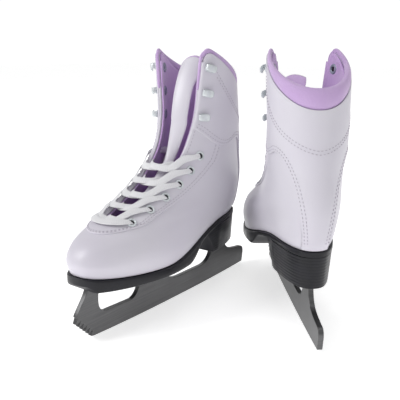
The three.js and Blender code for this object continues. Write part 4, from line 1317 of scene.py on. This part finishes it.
def stitches(s, v, lift=0.0):
    """Stitches at even steps along a line on the panels, each lying along the line. lift is how far
    the panel stands off the shell."""
    sizes = bpy.context.scene.skate_sizes
    line, out = point(s, v, lift + UPPER["overlay"] + SEAM["proud"]), normal(s, v)
    run = run_along(line)
    pitch = sizes.stitch_length + sizes.stitch_gap
    at = np.arange(pitch, run[-1] - pitch, pitch)
    place, n = sample(at, run, line), unit(sample(at, run, out))
    step = sample(at + 0.3, run, line) - sample(at - 0.3, run, line)
    ahead = unit(step - n * (step * n).sum(axis=-1, keepdims=True))
    axes = np.stack([ahead, np.cross(n, ahead), n], axis=1)
    return repeat(*capsule(sizes.stitch_length, sizes.thread_radius), (place, axes))


def stay_seams():
    way = np.linspace(-0.985, 0.985, 700)
    for inset in (0.9, 0.79, 0.1):
        yield stitches(*stay_place(way, np.full(way.shape, inset)))


def cuff_seams():
    """Two lines that follow the cuff's lower edge, found by stepping in from it at right angles."""
    columns = cuff_columns()
    dense = np.interp(np.linspace(0, len(columns) - 1, 1400), np.arange(len(columns)), columns)
    s, v = cuff_place(dense, np.zeros(dense.shape))
    place = surface(s, v)
    run = unit(np.gradient(place, axis=0))
    inward = unit(np.cross(run, normal(s, v)))
    e = 0.002
    step_s = surface(s + e, v) - surface(s - e, v)
    step_v = surface(s, v + e) - surface(s, v - e)
    size_s, size_v = (np.linalg.norm(step, axis=-1) / (2 * e) for step in (step_s, step_v))
    dir_s, dir_v = unit(step_s), unit(step_v)
    if (inward * dir_v).sum(axis=-1)[len(s) // 4] < 0:
        inward = -inward
    on_s, on_v = (inward * dir_s).sum(axis=-1) / size_s, (inward * dir_v).sum(axis=-1) / size_v
    inside = np.abs(s) > CUFF["stay_half"] * 0.7
    for distance in SEAM["pair"]:
        for side in (1, -1):
            pick = inside & (np.sign(s) == side) & (v > 0.07)
            yield stitches((s + on_s * distance)[pick], (v + on_v * distance)[pick], CUFF["lift"])


def quilting():
    """Two lines that hang from under the two peaks and meet low on the backstay."""
    q = SEAM
    s = np.linspace(q["quilt_half"], -q["quilt_half"], 500)
    for shift in q["quilt_shifts"]:
        v = q["quilt_low"] + shift + q["quilt_rise"] * (np.abs(s) / q["quilt_side"]) ** 1.5
        keep = v < top_edge(s) - 0.03
        yield stitches(s[keep], v[keep], CUFF["lift"])


def make_stitching(skate):
    points, faces = merge([*stay_seams(), *cuff_seams(), *quilting()])
    obj = build(f"{skate.name}_stitching", points, faces, skate, [material_of("thread")],
                uv=points[:, :2] * MM)
    return settle(obj, skate, "boot_vinyl")


# ------------------------------------------------------------------ stage
def make_stage():
    """A pale floor, four large soft lights and the camera, all placed from the frame's own box."""
    low, high = (Vector(corner) for corner in CAD_BOX)
    middle = (low + high) / 2
    floor = bpy.data.meshes.new("floor_sheet")
    size = 6.0
    edge = np.array([(-size, -size, 0), (size, -size, 0), (size, size, 0), (-size, size, 0)])
    floor.from_pydata((edge + np.array([0, 0, low.z - 0.0002])).tolist(), [], [(0, 1, 2, 3)])
    sheet = new_object("floor_sheet", floor)
    material, tree, shader, where = bare_material("Pale Floor", Roughness=0.9, Specular_IOR_Level=0.1)
    shader.inputs["Emission Color"].default_value = (1.0, 1.0, 1.0, 1)
    shader.inputs["Emission Strength"].default_value = 0.64
    tinted(tree, shader, where, (0.9, 0.9, 0.9, 1), (0.87, 0.87, 0.87, 1), 4.0)
    floor.materials.append(material)

    world = bpy.data.worlds.new("Soft Studio")
    world.use_nodes = True
    sky = world.node_tree.nodes["Background"]
    sky.inputs["Color"].default_value = (1.0, 1.0, 1.0, 1)
    seen = put(world.node_tree, "ShaderNodeLightPath").outputs["Is Camera Ray"]
    power = put(world.node_tree, "ShaderNodeMapRange", {"Value": seen, "To Min": 0.4, "To Max": 1.05})
    world.node_tree.links.new(power.outputs[0], sky.inputs["Strength"])
    bpy.context.scene.world = world

    def lamp(name, place, power, wide):
        data = bpy.data.lights.new(name, "AREA")
        data.energy, data.size, data.shape = power, wide, "DISK"
        obj = new_object(name, data)
        obj.location = middle + Vector(place)
        obj.rotation_euler = (middle - obj.location).to_track_quat("-Z", "Y").to_euler()

    lamp("key", (1.0, -0.75, 0.9), 10.0, 0.7)
    lamp("fill", (0.3, 1.3, 0.7), 1.5, 1.1)
    lamp("top", (-0.2, 0.1, 1.5), 3.0, 1.2)
    lamp("back", (-1.1, -0.9, 0.8), 2.5, 1.0)

    camera = bpy.data.cameras.new("camera")
    camera.lens, camera.sensor_width = 54.0, 36.0
    eye = new_object("camera", camera)
    tail = PAIR[0].origin
    eye.location = (tail[0] + 0.486, tail[1] + 0.311, 0.211)
    yaw, pitch = math.radians(-143.2), math.radians(14.3)
    aim = Vector((math.cos(yaw) * math.cos(pitch), math.sin(yaw) * math.cos(pitch), -math.sin(pitch)))
    eye.rotation_euler = aim.to_track_quat("-Z", "Y").to_euler()
    bpy.context.scene.camera = eye
    bpy.context.scene.view_settings.view_transform = "Standard"


# ------------------------------------------------------------------ the add-on
def colour_property(name, words, value):
    return FloatVectorProperty(name=name, description=words, subtype="COLOR", size=3, min=0, max=1,
                               default=value)


def length_property(name, words, value, least):
    return FloatProperty(name=name, description=words + ", in millimetres", default=value, min=least)


class SkateColours(bpy.types.PropertyGroup):
    """Base colours of the finishes."""
    boot: colour_property("Boot", "White coated leather", (0.68, 0.66, 0.72))
    boot_shade: colour_property("Boot tone", "What the boot's patches lean towards", (0.58, 0.53, 0.65))
    collar: colour_property("Collar", "Padded collar cloth", (0.58, 0.42, 0.68))
    lining: colour_property("Lining", "Cloth inside the boot", (0.66, 0.46, 0.78))
    lining_shade: colour_property("Lining tone", "What the cloth's patches lean towards",
                                  (0.50, 0.32, 0.63))
    sole: colour_property("Sole", "Moulded sole and heel", (0.008, 0.008, 0.011))
    blade: colour_property("Blade", "Satin steel", (0.14, 0.14, 0.143))
    trim: colour_property("Trim", "Eyelets and hooks", (0.70, 0.74, 0.76))
    rivet: colour_property("Rivet backs", "Washers inside the flaps", (0.28, 0.30, 0.40))
    lace: colour_property("Lace", "Flat woven lace", (0.86, 0.86, 0.88))
    thread: colour_property("Thread", "Sewing thread", (0.52, 0.48, 0.56))


class SkateSizes(bpy.types.PropertyGroup):
    """Sizes of the fine pieces, in millimetres."""
    lace_width: length_property("Lace width", "Width of the flat lace", 6.0, 2)
    lace_thickness: length_property("Lace thickness", "Thickness of the lace", 1.1, 0.3)
    stitch_length: length_property("Stitch length", "Length of one stitch", 1.9, 0.5)
    stitch_gap: length_property("Stitch gap", "Gap between stitches", 1.0, 0.2)
    thread_radius: length_property("Thread radius", "Radius of the thread", 0.24, 0.1)
    ridge_pitch: length_property("Ridge pitch", "Pitch of the heel's ridges", 2.4, 0.5)


class ForBothSkates:
    """Runs a piece's own maker for the left skate and then for the right one."""

    def execute(self, context):
        for skate in PAIR:
            self.make(skate)
        return {"FINISHED"}


class SKATES_OT_stage(bpy.types.Operator):
    """Set the floor, the lights and the camera"""
    bl_idname = "skates.stage"
    bl_label = "Stage"

    def execute(self, context):
        make_stage()
        return {"FINISHED"}


class SKATES_OT_blades(ForBothSkates, bpy.types.Operator):
    """Make both steel blades"""
    bl_idname = "skates.blades"
    bl_label = "Blades"
    make = staticmethod(make_blade)


class SKATES_OT_outsoles(ForBothSkates, bpy.types.Operator):
    """Make both black sole units"""
    bl_idname = "skates.outsoles"
    bl_label = "Outsoles"
    make = staticmethod(make_outsole)


class SKATES_OT_heels(ForBothSkates, bpy.types.Operator):
    """Make both ridged heels"""
    bl_idname = "skates.heels"
    bl_label = "Heels"
    make = staticmethod(make_heel)


class SKATES_OT_insoles(ForBothSkates, bpy.types.Operator):
    """Make both insoles with their socks"""
    bl_idname = "skates.insoles"
    bl_label = "Insoles"
    make = staticmethod(make_insole)


class SKATES_OT_shells(ForBothSkates, bpy.types.Operator):
    """Make the vamps and quarters"""
    bl_idname = "skates.shells"
    bl_label = "Boot shells"
    make = staticmethod(make_shell)


class SKATES_OT_linings(ForBothSkates, bpy.types.Operator):
    """Make the linings"""
    bl_idname = "skates.linings"
    bl_label = "Linings"
    make = staticmethod(make_lining)


class SKATES_OT_facings(ForBothSkates, bpy.types.Operator):
    """Make the panels that hold the eyelets"""
    bl_idname = "skates.facings"
    bl_label = "Lace facings"
    make = staticmethod(make_stay)


class SKATES_OT_cuffs(ForBothSkates, bpy.types.Operator):
    """Make the ankle panels with their backstays"""
    bl_idname = "skates.cuffs"
    bl_label = "Ankle panels"
    make = staticmethod(make_cuff)


class SKATES_OT_collars(ForBothSkates, bpy.types.Operator):
    """Make the padded collars"""
    bl_idname = "skates.collars"
    bl_label = "Collars"
    make = staticmethod(make_collar)


class SKATES_OT_tongues(ForBothSkates, bpy.types.Operator):
    """Make the padded tongues"""
    bl_idname = "skates.tongues"
    bl_label = "Tongues"
    make = staticmethod(make_tongue)


class SKATES_OT_eyelets(ForBothSkates, bpy.types.Operator):
    """Make the eyelets"""
    bl_idname = "skates.eyelets"
    bl_label = "Eyelets"
    make = staticmethod(make_eyelets)


class SKATES_OT_hooks(ForBothSkates, bpy.types.Operator):
    """Make the speed hooks and the washers behind them"""
    bl_idname = "skates.hooks"
    bl_label = "Speed hooks"
    make = staticmethod(make_hooks)


class SKATES_OT_laces(ForBothSkates, bpy.types.Operator):
    """Make the laces"""
    bl_idname = "skates.laces"
    bl_label = "Laces"
    make = staticmethod(make_lace)


class SKATES_OT_stitching(ForBothSkates, bpy.types.Operator):
    """Sew the seams"""
    bl_idname = "skates.stitching"
    bl_label = "Stitching"
    make = staticmethod(make_stitching)


STEPS = (SKATES_OT_stage, SKATES_OT_blades, SKATES_OT_outsoles, SKATES_OT_heels, SKATES_OT_insoles,
         SKATES_OT_shells, SKATES_OT_linings, SKATES_OT_facings, SKATES_OT_cuffs, SKATES_OT_collars,
         SKATES_OT_tongues, SKATES_OT_eyelets, SKATES_OT_hooks, SKATES_OT_laces, SKATES_OT_stitching)


class SKATES_PT_panel(bpy.types.Panel):
    """Sizes, colours and one button for each piece"""
    bl_idname = "SKATES_PT_panel"
    bl_label = "Figure Skates"
    bl_space_type = "VIEW_3D"
    bl_region_type = "UI"
    bl_category = "Skates"

    def draw(self, context):
        for settings in (context.scene.skate_sizes, context.scene.skate_colours):
            for key in settings.__annotations__:
                self.layout.prop(settings, key)
        for step in STEPS:
            self.layout.operator(step.bl_idname)


CLASSES = (SkateColours, SkateSizes, *STEPS, SKATES_PT_panel)


def register():
    for item in CLASSES:
        bpy.utils.register_class(item)
    bpy.types.Scene.skate_colours = PointerProperty(type=SkateColours)
    bpy.types.Scene.skate_sizes = PointerProperty(type=SkateSizes)


def unregister():
    del bpy.types.Scene.skate_colours
    del bpy.types.Scene.skate_sizes
    for item in reversed(CLASSES):
        bpy.utils.unregister_class(item)


def main():
    register()
    for step in STEPS:
        family, name = step.bl_idname.split(".")
        getattr(getattr(bpy.ops, family), name)()


if __name__ == "__main__":
    main()
